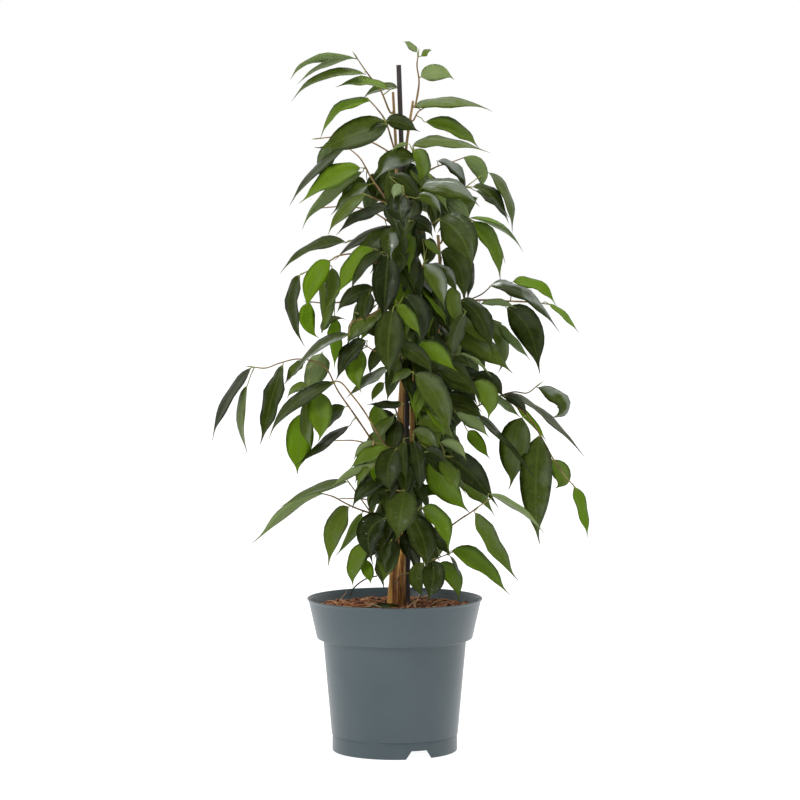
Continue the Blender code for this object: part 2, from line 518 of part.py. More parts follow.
def build_soil(mix, holes):
    """The filling of the pot, with a plain hole for each stem and for the stake."""
    band_foot = RIM_HEIGHT - BAND_HEIGHT
    body_top = band_foot - STEP_HEIGHT
    band_top, wall_top = RIM_RADIUS - LIP, RIM_HEIGHT - LIP_HEIGHT
    band_slope = (band_top - BAND_FOOT_RADIUS) / (wall_top - band_foot)
    edge = band_top - WALL - 2 * GAP - band_slope * (wall_top - SOIL_TOP)
    floor = BASE_HEIGHT + BASE_THICKNESS + GAP
    profile = [(0, floor), (FOOT_RADIUS - WALL - 2 * GAP, floor),
               (BODY_TOP_RADIUS - WALL - 2 * GAP, body_top + WALL),
               (BAND_FOOT_RADIUS - WALL - 3 * GAP, band_foot + WALL + 3 * GAP), (edge, SOIL_TOP)]
    profile += [(radius, SOIL_TOP) for radius in reversed(SOIL_RINGS)] + [(0, SOIL_TOP + SOIL_MOUND)]
    soil = turned("soil", profile, SOIL_SIDES, mix)
    for vertex in soil.data.vertices:
        radius = math.hypot(vertex.co.x, vertex.co.y)
        if vertex.co.z > SOIL_TOP - 1e-5 and 0 < radius < SOIL_RINGS[-1] + 1e-5:
            vertex.co.z = soil_height(radius, math.atan2(vertex.co.y, vertex.co.x))
    cut_all(soil, holes)
    return soil


# Stems and stake


def rooted(line, depth):
    """The line with a straight foot below it, down in the soil."""
    return [Vector((line[0].x, line[0].y, SOIL_TOP - depth)), Vector((line[0].x, line[0].y, SOIL_TOP - 0.012))] + line


def stem_line(name):
    return smooth_line([at(*point) for point in STEMS[name][2]])


def build_stem(name, bark):
    foot, top, _ = STEMS[name]
    line = stem_line(name)
    radii = [foot * 1.1, foot * 1.1] + spaced_radii(foot, top, len(line))
    points, faces = tube(rooted(line, STEM_DEPTH), radii, STEM_SIDES)
    obj = add_object(f"stem_{name}", points, faces, bark)
    hole = tube(rooted(line[:3], STEM_DEPTH + GAP), [foot * 1.15 + 2 * GAP] * 5, HOLE_SIDES)
    return obj, cutter(f"hole for {name} stem", *hole)


def build_stake(stick):
    line = [at(*point) for point in STAKE_LINE]
    count = len(line) + 2
    points, faces = tube(rooted(line, STAKE_DEPTH), [STAKE_RADIUS] * count, STAKE_SIDES)
    obj = add_object("stake", points, faces, stick)
    hole = tube(rooted(line[:2], STAKE_DEPTH + GAP), [STAKE_RADIUS * 1.05 + 2 * GAP] * 4, HOLE_SIDES)
    return obj, cutter("hole for stake", *hole)


# Leaves


def leaf_form(row, depth):
    """The spine, the face's direction and the true width of a leaf, from how it shows at a depth."""
    base_x, base_y, mid_x, mid_y, tip_x, tip_y, width, look = row[:8]
    base, tip = at(base_x, base_y, depth), at(tip_x, tip_y, depth)
    bend = at(mid_x, mid_y, depth)
    seen_length = ((bend - base).length + (tip - bend).length + (tip - base).length) / 2
    seen_width = width * METRES_PER_POINT * WIDTH_SHARE
    true_width = max(seen_width, min(WIDEST, max(NARROWEST, LEAF_SHARE * seen_length)))
    true_length = max(seen_length, LEAST_LENGTH_SHARE * seen_width)
    lean = min(MOST_LEAN, math.sqrt(max(0, true_length ** 2 - seen_length ** 2)))
    lean *= 1 if depth > 0.02 else -1
    tip = at(tip_x, tip_y, depth + lean)
    handle = at(mid_x, mid_y, depth + 0.6 * lean)
    roll = min(MOST_ROLL, math.acos(min(1, seen_width / true_width)))
    if look == PALE:
        roll = math.pi - roll
    along = (tip - base).normalized()
    outward = Vector((math.copysign(1, (base + tip).x / 2 - at(405, base_y, 0).x), 0, 1))
    side = along.cross(Vector((0, 1, 0)))
    side = side.normalized() * math.copysign(1, side.dot(outward))
    face = Vector((0, -1, 0)) * math.cos(roll) + side * math.sin(roll)
    return (base, handle, tip), face, true_width


def spine_at(spine, share):
    base, handle, tip = spine
    point = base * (1 - share) ** 2 + handle * (2 * share * (1 - share)) + tip * share ** 2
    along = ((handle - base) * (1 - share) + (tip - handle) * share).normalized()
    return point, along


def leaf_frame(spine, face, share):
    """Point, sideways and outward directions of the blade at a share of its length."""
    point, along = spine_at(spine, share)
    across = face.cross(along).normalized()
    return point, across, along.cross(across)


def blade_rings(spine, face, width, stations, thickness):
    """Cross-sections of the folded blade: margin, midrib, margin on its face, and the same behind."""
    rings = []
    for share, spread in stations:
        point, across, out = leaf_frame(spine, face, share)
        half = max(width * spread, STALK_WIDTH) / 2
        margins = [point - across * half, point + across * half]
        rings.append([p + out * (thickness / 2) for p in margins] + [p - out * (thickness / 2) for p in margins[::-1]])
    return rings


def joined_rings(rings, plain=0):
    """Faces round rings of four points, split alike on both faces of a blade, and whole for the first few spans."""
    points = [p for one in rings for p in one]
    faces = [(0, 1, 2, 3)]
    for n in range(len(rings) - 1):
        for k in range(4):
            a, b = 4 * n + k, 4 * n + (k + 1) % 4
            if n < plain:
                faces.append((a, a + 4, b + 4, b))
            elif k == 2:
                faces += [(a, a + 4, b), (b, a + 4, b + 4)]
            else:
                faces += [(a, a + 4, b + 4), (a, b + 4, b)]
    last = 4 * (len(rings) - 1)
    faces.append((last + 3, last + 2, last + 1, last))
    return points, faces


def stalk_rings(root, spine, face, thickness):
    """Cross-sections of a leaf's stalk, from the twig up to its blade, with a knee where it turns sharply."""
    base, across, out = leaf_frame(spine, face, 0)
    along = spine_at(spine, 0)[1]
    half, thin = STALK_WIDTH / 2, thickness / 2
    reach = (base - root).normalized()
    places = [(root, reach)]
    if reach.dot(along) < KNEE_BEND:
        knee = base - along * KNEE_RUN
        reach = (knee - root).normalized()
        places = [(root, reach), (knee, (reach + along).normalized())]
    rings = []
    for point, direction in places:
        turn = along.rotation_difference(direction)
        side, up = (turn @ across) * half, (turn @ out) * thin
        rings.append([point - side + up, point + side + up, point + side - up, point - side - up])
    return rings


def stalk_root(twigs, base):
    """The point of the spray's twigs that the leaf's stalk grows from."""
    best = None
    for line in twigs:
        for a, b in zip(line, line[1:]):
            _, share = intersect_point_line(base, a, b)
            point = a + (b - a) * min(ROOT_MOST, max(ROOT_LEAST, share))
            if best is None or (point - base).length < (best - base).length:
                best = point
    return best


def leaf_shapes(row, depth, twigs, grown=0.0):
    """A leaf's blade, its blade without the foot, its stalk, and blade and stalk as one closed solid."""
    spine, face, width = leaf_form(row, depth)
    look = row[7]
    root = stalk_root(twigs, spine[0])
    if (spine[0] - root).length < LEAST_STALK:
        spine = (root + spine_at(spine, 0)[1] * LEAST_STALK, *spine[1:])
    thickness = BLADE + 2 * grown
    stations = NARROW_STATIONS if width < NARROW_LEAF or look == HIDDEN else STATIONS
    rings = blade_rings(spine, face, width + 2 * grown, stations, thickness)
    stalk = stalk_rings(root, spine, face, thickness)
    return (joined_rings(rings), joined_rings(rings[1:]), joined_rings([*stalk, rings[0]], len(stalk)),
            joined_rings([*stalk, *rings], len(stalk)))


class Room:
    """What already stands in the plant, to keep each new piece clear of it."""

    def __init__(self):
        self.pieces = []

    def add(self, shape, owner, kind):
        points, faces = shape
        low = Vector(min(p[k] for p in points) for k in range(3))
        high = Vector(max(p[k] for p in points) for k in range(3))
        self.pieces.append((low, high, BVHTree.FromPolygons(points, faces), owner, kind))

    def free(self, shape, owner, kinds=()):
        """Whether a shape touches no other spray's piece, and none of these kinds of its own spray."""
        points, faces = shape
        low = [min(p[k] for p in points) for k in range(3)]
        high = [max(p[k] for p in points) for k in range(3)]
        tree = None
        for other_low, other_high, other, other_owner, kind in self.pieces:
            if other_owner == owner and kind not in kinds:
                continue
            if any(low[k] > other_high[k] or high[k] < other_low[k] for k in range(3)):
                continue
            tree = tree or BVHTree.FromPolygons(points, faces)
            if tree.overlap(other):
                return False
        return True


def place_leaf(room, owner, row, depth, twigs):
    """Slides a leaf along the line of sight until it is clear of the rest, and returns its closed solid."""
    shifts = [0.0]
    for k in range(1, MOST_SHIFTS):
        shifts += [-k * SHIFT_STEP, k * SHIFT_STEP]
    for shift in shifts:
        blade, outer, stalk, _ = leaf_shapes(row, depth + shift, twigs, CLEAR)
        if (room.free(blade, owner, ("blade", )) and room.free(stalk, owner, ("blade", ))
                and room.free(outer, owner, ("twig", "stalk"))):
            blade, _, stalk, whole = leaf_shapes(row, depth + shift, twigs)
            room.add(blade, owner, "blade")
            room.add(stalk, owner, "stalk")
            return whole, depth + shift
    return None, depth


# Sprays


def twig_root(stem, row, towards):
    """Where a twig starts, just off the stem's bark, and a first point straight out from it."""
    foot, top, line = STEMS[stem]
    line = stem_line(stem)
    radii = spaced_radii(foot, top, len(line))
    height = at(400, row, 0).z
    for (a, b), radius in zip(zip(line, line[1:]), radii):
        if a.z <= height <= b.z:
            middle = a + (b - a) * ((height - a.z) / (b.z - a.z))
            out = (towards - middle).to_2d().normalized().to_3d()
            return [middle + out * (radius + GAP + 0.0001), middle + out * (radius + 0.004)]
    raise ValueError(f"no {stem} stem at row {row}")


def twig_lines(stem, row, main, sides):
    points = [at(*point) for point in main]
    lines = [[*twig_root(stem, row, points[0]), *points]]
    lines += [[at(*point) for point in side] for side in sides]
    return lines


def twig_shapes(lines, grown=0.0):
    shapes = []
    for line in lines:
        radii = [r + grown for r in spaced_radii(TWIG_RADIUS, TWIG_TIP_RADIUS, len(line))]
        shapes.append(tube(line, radii, 4))
    return shapes


def slim(obj):
    """Drops the union's needless corners, where that leaves the body closed and of one piece."""
    for flat in (NEARLY_FLAT, 0):
        mesh = bmesh.new()
        mesh.from_mesh(obj.data)
        before = len(mesh.verts) - len(mesh.edges) + len(mesh.faces)
        bmesh.ops.remove_doubles(mesh, verts=mesh.verts, dist=WELD)
        if flat:
            bmesh.ops.dissolve_limit(mesh, angle_limit=flat, verts=mesh.verts, edges=mesh.edges)
        after = len(mesh.verts) - len(mesh.edges) + len(mesh.faces)
        whole = before == after and all(part.is_manifold for part in (*mesh.edges, *mesh.verts))
        if whole:
            mesh.to_mesh(obj.data)
        mesh.free()
        if whole:
            return


def fused(name, shapes, finish):
    """One closed body from overlapping ones, by a Boolean union on a collection."""
    first, rest = shapes[0], shapes[1:]
    obj = add_object(name, *first, finish)
    others = bpy.data.collections.new(f"{name} parts")
    for k, shape in enumerate(rest):
        piece = add_object(f"{name} part {k}", *shape, finish)
        bpy.context.scene.collection.objects.unlink(piece)
        others.objects.link(piece)
    bpy.context.scene.collection.children.link(others)
    join = obj.modifiers.new("join", "BOOLEAN")
    join.operation = "UNION"
    join.operand_type = "COLLECTION"
    join.collection = others
    join.solver = "EXACT"
    apply_modifiers(obj)
    for piece in list(others.objects):
        bpy.data.objects.remove(piece)
    bpy.data.collections.remove(others)
    slim(obj)


def inside(point, outline):
    """Whether a place of the front view lies in an outline there."""
    x, y = point
    found = False
    for (ax, ay), (bx, by) in zip(outline, outline[1:] + outline[:1]):
        if (ay > y) != (by > y) and x < ax + (bx - ax) * (y - ay) / (by - ay):
            found = not found
    return found


def outline(row, depth):
    """A blade's margin as it shows from the front, one side down and the other side up."""
    spine, face, width = leaf_form(row, depth)
    left, right = [], []
    for share, spread in STATIONS:
        point, across, _ = leaf_frame(spine, face, share)
        left.append(shown(point - across * (width * spread / 2)))
        right.append(shown(point + across * (width * spread / 2)))
    return left + right[::-1]


def hidden(row, depth, front):
    """Whether the leaves in front, or the thick of the plant, cover nearly all of a leaf's outline."""
    marks = outline(row, depth)
    covered = sum(any(inside(mark, cover) for cover in (*front, *DENSE)) for mark in marks)
    return covered >= HIDDEN_SHARE * len(marks)


def thicket_row(draw):
    """A dark leaf that hangs somewhere in the thick of the plant, as it shows from the front."""
    edge = draw.choice(DENSE)
    x = draw.uniform(min(p[0] for p in edge), max(p[0] for p in edge))
    y = draw.uniform(min(p[1] for p in edge), max(p[1] for p in edge))
    length = draw.uniform(*THICKET_LEAF) / METRES_PER_POINT
    swing = draw.uniform(-1.0, 1.0)
    tip_x, tip_y = x + length * math.sin(swing), y + length * math.cos(swing)
    mid_x = (x + tip_x) / 2 + 0.12 * length * math.copysign(1, swing)
    width = LEAF_SHARE * length * draw.uniform(0.6, 1.0)
    return x, y, mid_x, (y + tip_y) / 2 - 0.06 * length, tip_x, tip_y, width, HIDDEN


def fill_thicket(room, front, lines):
    """Leaves that close the gaps in the thick of the plant, each on the spray whose twig is nearest."""
    draw = random.Random(THICKET_SEED)
    added = []
    for _ in range(THICKET_TRIES):
        leaf, depth = thicket_row(draw), draw.uniform(*THICKET_DEPTH)
        marks = outline(leaf, depth)
        if not hidden(leaf, depth, ()):
            continue
        if sum(not any(inside(mark, cover) for cover in front) for mark in marks) < OPEN_SHARE * len(marks):
            continue
        base = at(leaf[0], leaf[1], depth)
        name = min(lines, key=lambda spray: (stalk_root(lines[spray], base) - base).length)
        if (stalk_root(lines[name], base) - base).length > THICKET_REACH:
            continue
        whole, depth = place_leaf(room, name, leaf, depth, lines[name])
        if whole:
            added.append((name, whole))
            front.append(outline(leaf, depth))
        if len(added) == THICKET_LEAVES:
            break
    return added


def back_row(draw, root, turn):
    """A leaf that hangs from a point of a back twig, as it shows from the front."""
    length = draw.uniform(*BACK_LEAF)
    away = turn + draw.uniform(-1.2, 1.2)
    drop = draw.uniform(0.65, 0.95)
    flat = math.sqrt(1 - drop ** 2)
    base = root + Vector((math.cos(away), math.sin(away), -0.3)) * draw.uniform(0.008, 0.014)
    tip = base + Vector((math.cos(away) * flat, 0, -drop)) * length
    middle = (base + tip) / 2 + Vector((math.cos(away), 0, 0.4)) * (0.12 * length)
    places = [value for point in (base, middle, tip) for value in shown(point)]
    width = LEAF_SHARE * length / METRES_PER_POINT * draw.uniform(0.45, 0.95)
    return (*places, width, HIDDEN), base.y


def back_line(draw, attempt, made):
    """The line of a twig that grows out of the back of a stem, and the way it turns."""
    stem = BACK_STEMS[attempt % len(BACK_STEMS)]
    share = (made + draw.uniform(0.1, 0.9)) / BACK_SPRAYS
    row = BACK_FOOT_ROW + (BACK_TOP_ROW - BACK_FOOT_ROW) * share
    if stem == "back" and row < BACK_STEM_TOP_ROW:
        stem = "right"
    turn = draw.uniform(*BACK_TURN)
    reach = draw.uniform(*BACK_TWIG)
    below = [point for point in STEMS[stem][2] if point[1] >= row][-1]
    start = at(below[0], row, BACK_START_DEPTH)
    out = Vector((math.cos(turn), math.sin(turn), 0))
    line = [start + out * (reach * k) + Vector((0, 0, reach * (BACK_RISE * k - BACK_DROOP * k * k)))
            for k in BACK_STEPS]
    return [*twig_root(stem, row, line[0]), *line], turn


def back_leaves(draw, room, owner, line, turn, front):
    """Leaves along a back twig, each kept where the front hides it and there is room for it."""
    leaves = []
    for k in range(BACK_LEAF_TRIES):
        if len(leaves) == BACK_LEAVES:
            break
        leaf, depth = back_row(draw, line[1 + k % (len(line) - 1)], turn)
        if hidden(leaf, depth, front):
            solid, _ = place_leaf(room, owner, leaf, depth, [line])
            if solid:
                leaves.append(solid)
    return leaves


def build_back_sprays(room, front, leafy):
    """Twigs out of the back of the stems, kept where enough of their leaves stay hidden from the front."""
    made = 0
    for attempt in range(BACK_TRIES):
        if made == BACK_SPRAYS:
            break
        draw = random.Random(BACK_SEED + attempt)
        line, turn = back_line(draw, attempt, made)
        owner = f"back {made}"
        if not all(room.free(shape, owner) for shape in twig_shapes([line], CLEAR)):
            continue
        room_before = len(room.pieces)
        for shape in twig_shapes([line]):
            room.add(shape, owner, "twig")
        leaves = back_leaves(draw, room, owner, line, turn, front)
        if len(leaves) < BACK_LEAVES - 1:
            del room.pieces[room_before:]
            continue
        made += 1
        fused(f"spray_{len(SPRAYS) + made:02d}", [*twig_shapes([line]), *leaves], leafy)


def build_sprays(room, leafy):
    """The sprays that show from the front, with the thicket's leaves on them."""
    every = [(f"spray_{k + 1:02d}", *spray) for k, spray in enumerate(SPRAYS)]
    lines = {}
    for name, stem, row, main, sides, _ in every:
        lines[name] = twig_lines(stem, row, main, sides)
        for shape in twig_shapes(lines[name]):
            room.add(shape, name, "twig")
    front, solids = [], {name: [] for name in lines}
    for name, _, _, main, _, leaves in every:
        for leaf in leaves:
            depth = leaf[8] if len(leaf) > 8 else main[-1][2]
            whole, depth = place_leaf(room, name, leaf, depth, lines[name])
            if whole:
                solids[name].append(whole)
                front.append(outline(leaf, depth))
    for name, whole in fill_thicket(room, front, lines):
        solids[name].append(whole)
    for name in lines:
        fused(name, [*twig_shapes(lines[name]), *solids[name]], leafy)
    return front


def build_fallen_leaf(finish):
    """One dropped leaf, lying on the chips beside the stems."""
    rings = []
    for share, spread in STATIONS:
        middle = FALLEN_FOOT + Vector((-FALLEN_LENGTH * share, 0.004 * math.sin(3 * share), 0))
        half = Vector((0, max(FALLEN_WIDTH * spread, STALK_WIDTH) / 2, 0))
        margins = [middle + half, middle - half]
        low = max(soil_height(p.xy.length, math.atan2(p.y, p.x)) for p in (*margins, middle)) + FALLEN_LIFT
        margins = [Vector((p.x, p.y, low)) for p in margins]
        rings.append([p + Vector((0, 0, BLADE)) for p in margins] + margins[::-1])
    points, faces = joined_rings(rings)
    return add_object("fallen_leaf", points, faces, finish)


def main():
    clear_scene()
    plastic = material("pot plastic", (0.085, 0.135, 0.15), 0.42)
    mix = material("potting mix", (0.20, 0.10, 0.05), 0.95)
    bark = material("fig bark", (0.36, 0.20, 0.08), 0.75)
    stick = material("stake stick", (0.03, 0.022, 0.02), 0.6)
    leafy = material("fig leaf", (0.045, 0.10, 0.025), 0.35)

    stood = [build_stem(name, bark) for name in STEMS] + [build_stake(stick)]
    holes = [hole for _, hole in stood]
    room = Room()
    for obj in (*[obj for obj, _ in stood], build_pot(plastic), build_soil(mix, holes)):
        shape = ([v.co for v in obj.data.vertices], [tuple(p.vertices) for p in obj.data.polygons])
        room.add(shape, obj.name, "holder")
    front = build_sprays(room, leafy)
    build_back_sprays(room, front, leafy)
    build_fallen_leaf(leafy)


main()
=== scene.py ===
"""A weeping fig in a nursery pot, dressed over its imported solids, with its floor and light."""
import json
import math
import random

import bpy
import numpy as np
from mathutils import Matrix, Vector, noise
from mathutils.geometry import intersect_point_line
from mathutils.kdtree import KDTree

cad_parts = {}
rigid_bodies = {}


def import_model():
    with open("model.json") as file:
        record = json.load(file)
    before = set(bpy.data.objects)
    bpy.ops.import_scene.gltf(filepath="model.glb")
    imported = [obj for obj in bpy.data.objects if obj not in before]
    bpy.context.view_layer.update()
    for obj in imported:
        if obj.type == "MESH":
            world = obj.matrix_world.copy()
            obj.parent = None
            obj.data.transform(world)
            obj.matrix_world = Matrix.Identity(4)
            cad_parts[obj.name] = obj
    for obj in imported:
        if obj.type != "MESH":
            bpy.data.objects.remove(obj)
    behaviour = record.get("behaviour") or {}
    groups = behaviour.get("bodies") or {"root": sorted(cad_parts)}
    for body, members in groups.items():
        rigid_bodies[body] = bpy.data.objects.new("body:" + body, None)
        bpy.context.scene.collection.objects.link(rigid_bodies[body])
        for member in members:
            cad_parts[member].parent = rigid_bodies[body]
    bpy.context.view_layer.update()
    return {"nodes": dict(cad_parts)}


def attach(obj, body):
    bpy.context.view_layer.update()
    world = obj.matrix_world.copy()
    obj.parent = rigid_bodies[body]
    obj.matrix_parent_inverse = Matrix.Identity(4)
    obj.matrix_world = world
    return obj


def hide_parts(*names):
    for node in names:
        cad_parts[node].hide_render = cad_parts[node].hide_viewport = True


for old in list(bpy.data.objects):
    bpy.data.objects.remove(old)
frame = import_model()

# The pot: a round tapered nursery pot of thin blue-grey polypropylene, moulded in one shot. A deep band
# under the flared rim steps out from the body, which stands on a ring foot with two notches. The base has
# four drain holes and a small boss in its middle.
RIM_RADIUS = 0.106
RIM_HEIGHT = 0.185
WALL = 0.0016
LIP = 0.0022
LIP_HEIGHT = 0.0045
BAND_HEIGHT = 0.048
BAND_FOOT_RADIUS = 0.0944
BODY_TOP_RADIUS = 0.0865
STEP_HEIGHT = 0.003
FOOT_RADIUS = 0.0756
FOOT_HEIGHT = 0.020
FOOT_STEP = 0.0008
FOOT_WALL = 0.0024
BOSS_RADIUS = 0.016
BASE_HEIGHT = 0.0105
BASE_TOP = 0.0127
BAND_FOOT = RIM_HEIGHT - BAND_HEIGHT
BODY_TOP = BAND_FOOT - STEP_HEIGHT
BAND_TOP_RADIUS = RIM_RADIUS - LIP
NOTCH_LOW_WIDTH = 0.039
NOTCH_TOP_WIDTH = 0.020
NOTCH_HEIGHT = 0.010
NOTCH_BELOW = 0.004
NOTCH_REACH = 0.012
NOTCH_TURN = math.radians(-67)
DRAIN_HOLES = 4
DRAIN_RADIUS = 0.006
DRAIN_RING = 0.045
DRAIN_CUT = 0.012
POT_SIDES = 128
POT_BEVEL = 0.0002


class Wire:
    """A socket that gives a value; Python's operators put Math nodes behind it."""

    def __init__(self, finish, socket):
        self.finish = finish
        self.socket = socket

    def worked(self, operation, *values):
        return self.finish.node("ShaderNodeMath", {"operation": operation}, dict(enumerate(values)))

    def __add__(self, other):
        return self.worked("ADD", self, other)

    def __sub__(self, other):
        return self.worked("SUBTRACT", self, other)

    def __rsub__(self, other):
        return self.worked("SUBTRACT", other, self)

    def __mul__(self, other):
        return self.worked("MULTIPLY", self, other)

    __radd__ = __add__
    __rmul__ = __mul__


class Finish:
    """A material with a Principled shader, and the one way to add any other node to it."""

    def __init__(self, name, **fixed):
        self.material = bpy.data.materials.new(name)
        self.material.use_nodes = True
        self.nodes = self.material.node_tree.nodes
        self.links = self.material.node_tree.links
        self.shader = self.nodes["Principled BSDF"]
        self.output = self.nodes["Material Output"]
        for key, value in fixed.items():
            self.shader.inputs[key.replace("_", " ")].default_value = value

    def node(self, kind, settings=None, sockets=None, out=0):
        made = self.nodes.new(kind)
        for key, value in (settings or {}).items():
            if key == "stops":
                while len(made.color_ramp.elements) < len(value):
                    made.color_ramp.elements.new(0.5)
                for stop, (place, colour) in zip(made.color_ramp.elements, value):
                    stop.position = place
                    stop.color = (*colour, 1)
            else:
                setattr(made, key, value)
        for key, value in (sockets or {}).items():
            self.plug(made.inputs[key], value)
        return Wire(self, made.outputs[out])

    def plug(self, socket, value):
        if isinstance(value, Wire):
            self.links.new(value.socket, socket)
        elif isinstance(value, tuple) and len(value) == 3 and len(socket.default_value) == 4:
            socket.default_value = (*value, 1)
        else:
            socket.default_value = value

    def place(self):
        return self.node("ShaderNodeTexCoord", out="Object")

    def part(self, vector, axis):
        return self.node("ShaderNodeSeparateXYZ", {}, {0: vector}, out=axis)

    def value(self, name):
        """A value that the piece's own points carry, such as each leaf's shade."""
        return self.node(
            "ShaderNodeAttribute", {"attribute_type": "GEOMETRY", "attribute_name": name}, out="Fac")

    def stretched(self, scale):
        return self.node("ShaderNodeMapping", {}, {"Vector": self.place(), "Scale": scale})

    def noise(self, scale, detail=3.0, roughness=0.5, vector=None):
        return self.node("ShaderNodeTexNoise", {}, {
            "Vector": vector or self.place(), "Scale": scale, "Detail": detail, "Roughness": roughness})

    def ramp(self, value, stops):
        return self.node("ShaderNodeValToRGB", {"stops": stops}, {"Fac": value})

    def masked(self, value, low, high):
        """0 below low and 1 above high, smoothly; the other way round where low is above high."""
        if low > high:
            return 1 - self.masked(value, high, low)
        return self.node("ShaderNodeMapRange", {"interpolation_type": "SMOOTHSTEP"}, {
            "Value": value, "From Min": low, "From Max": high})

    def mixed(self, factor, first, second):
        return self.node("ShaderNodeMix", {"data_type": "RGBA"}, {0: factor, 6: first, 7: second}, out=2)

    def tinted(self, factor, colour, other):
        return self.node("ShaderNodeMix", {"data_type": "RGBA", "blend_type": "MULTIPLY"},
                         {0: factor, 6: colour, 7: other}, out=2)

    def bumped(self, height, depth):
        return self.node("ShaderNodeBump", {}, {"Height": height, "Distance": depth, "Strength": 1.0})

    def ends(self, colour, roughness, normal=None):
        self.plug(self.shader.inputs["Base Color"], colour)
        self.plug(self.shader.inputs["Roughness"], roughness)
        if normal is not None:
            self.plug(self.shader.inputs["Normal"], normal)
        return self.material


def alone(obj):
    bpy.ops.object.select_all(action="DESELECT")
    obj.select_set(True)
    bpy.context.view_layer.objects.active = obj


def pick(obj, chosen):
    """Selects the points of the mesh being edited that chosen accepts."""
    bpy.ops.mesh.select_mode(type="VERT")
    bpy.ops.mesh.select_all(action="DESELECT")
    bpy.ops.object.mode_set(mode="OBJECT")
    for point in obj.data.vertices:
        point.select = bool(chosen(point))
    bpy.ops.object.mode_set(mode="EDIT")


def turned(name, wall, sides):
    """Drawn up from a circle along the wall line, ring by ring, and closed at both ends."""
    (radius, height), *rest = wall
    bpy.ops.object.select_all(action="DESELECT")
    bpy.ops.mesh.primitive_circle_add(vertices=sides, radius=radius, location=(0, 0, height))
    obj = bpy.context.object
    obj.name = obj.data.name = name
    bpy.ops.object.transform_apply(location=True)
    bpy.ops.object.mode_set(mode="EDIT")
    for wider, higher in rest:
        bpy.ops.mesh.extrude_edges_move(TRANSFORM_OT_translate={"value": (0, 0, higher - height)})
        bpy.ops.transform.resize(
            value=(wider / radius, wider / radius, 1), center_override=(0, 0, higher))
        radius, height = wider, higher
    bpy.ops.mesh.edge_face_add()
    bpy.ops.mesh.select_all(action="DESELECT")
    bpy.ops.mesh.select_non_manifold()
    bpy.ops.mesh.edge_face_add()
    bpy.ops.mesh.select_all(action="SELECT")
    bpy.ops.mesh.normals_make_consistent(inside=False)
    bpy.ops.object.mode_set(mode="OBJECT")
    return obj


def applied(obj, kind, **settings):
    """Adds a modifier with these settings and applies it."""
    alone(obj)
    change = obj.modifiers.new(kind, kind)
    for key, value in settings.items():
        setattr(change, key, value)
    bpy.ops.object.modifier_apply(modifier=change.name)


def cut(obj, tool):
    alone(tool)
    bpy.ops.object.transform_apply(location=True, rotation=True, scale=True)
    applied(obj, "BOOLEAN", operation="DIFFERENCE", object=tool, solver="EXACT")
    bpy.data.objects.remove(tool)


# The wall's outline as (radius, height): from the boss, up the outside, over the lip, down the inside.
wall = [
    (BOSS_RADIUS, 0), (BOSS_RADIUS, BASE_HEIGHT), (FOOT_RADIUS - FOOT_WALL, BASE_HEIGHT),
    (FOOT_RADIUS - FOOT_WALL, 0.0004), (FOOT_RADIUS - FOOT_WALL + 0.0004, 0), (FOOT_RADIUS - 0.0008, 0),
    (FOOT_RADIUS - 0.0002, 0.0004), (FOOT_RADIUS, 0.0012), (FOOT_RADIUS, FOOT_HEIGHT - 0.0010),
    (FOOT_RADIUS - 0.0003, FOOT_HEIGHT - 0.0007), (FOOT_RADIUS + FOOT_STEP - 0.0002, FOOT_HEIGHT),
    (FOOT_RADIUS + FOOT_STEP, FOOT_HEIGHT + 0.0005), (BODY_TOP_RADIUS, BODY_TOP),
    (BODY_TOP_RADIUS + 0.0008, BODY_TOP + 0.0010), (BAND_FOOT_RADIUS - 0.0024, BAND_FOOT - 0.0008),
    (BAND_FOOT_RADIUS - 0.0009, BAND_FOOT - 0.0003), (BAND_FOOT_RADIUS - 0.0001, BAND_FOOT + 0.0009),
    (BAND_TOP_RADIUS, RIM_HEIGHT - LIP_HEIGHT), (BAND_TOP_RADIUS + 0.0007, RIM_HEIGHT - 0.0028),
    (RIM_RADIUS - 0.0003, RIM_HEIGHT - 0.0016), (RIM_RADIUS, RIM_HEIGHT - 0.0009),
    (RIM_RADIUS - 0.0001, RIM_HEIGHT - 0.0003), (RIM_RADIUS - 0.0005, RIM_HEIGHT),
    (RIM_RADIUS - WALL + 0.0003, RIM_HEIGHT), (RIM_RADIUS - WALL, RIM_HEIGHT - 0.0005),
    (BAND_TOP_RADIUS - WALL + 0.0005, RIM_HEIGHT - 0.0034),
    (BAND_TOP_RADIUS - WALL, RIM_HEIGHT - LIP_HEIGHT),
    (BAND_FOOT_RADIUS - WALL, BAND_FOOT + WALL), (BODY_TOP_RADIUS - WALL, BODY_TOP + WALL),
    (FOOT_RADIUS - WALL, BASE_TOP)]
pot = turned("nursery_pot", wall, POT_SIDES)
applied(pot, "BEVEL", width=POT_BEVEL, segments=2, limit_method="ANGLE", angle_limit=math.radians(40))
for side in range(2):
    bpy.ops.mesh.primitive_cube_add(
        size=1, location=(FOOT_RADIUS, 0, (NOTCH_HEIGHT - NOTCH_BELOW) / 2),
        scale=(NOTCH_REACH, NOTCH_LOW_WIDTH, NOTCH_HEIGHT + NOTCH_BELOW))
    wedge = bpy.context.object
    bpy.ops.object.transform_apply(location=True, scale=True)
    bpy.ops.object.mode_set(mode="EDIT")
    pick(wedge, lambda point: point.co.z > 0)
    bpy.ops.transform.resize(
        value=(1, NOTCH_TOP_WIDTH / NOTCH_LOW_WIDTH, 1), center_override=(FOOT_RADIUS, 0, 0))
    bpy.ops.object.mode_set(mode="OBJECT")
    wedge.rotation_euler.z = NOTCH_TURN + math.pi * side
    cut(pot, wedge)
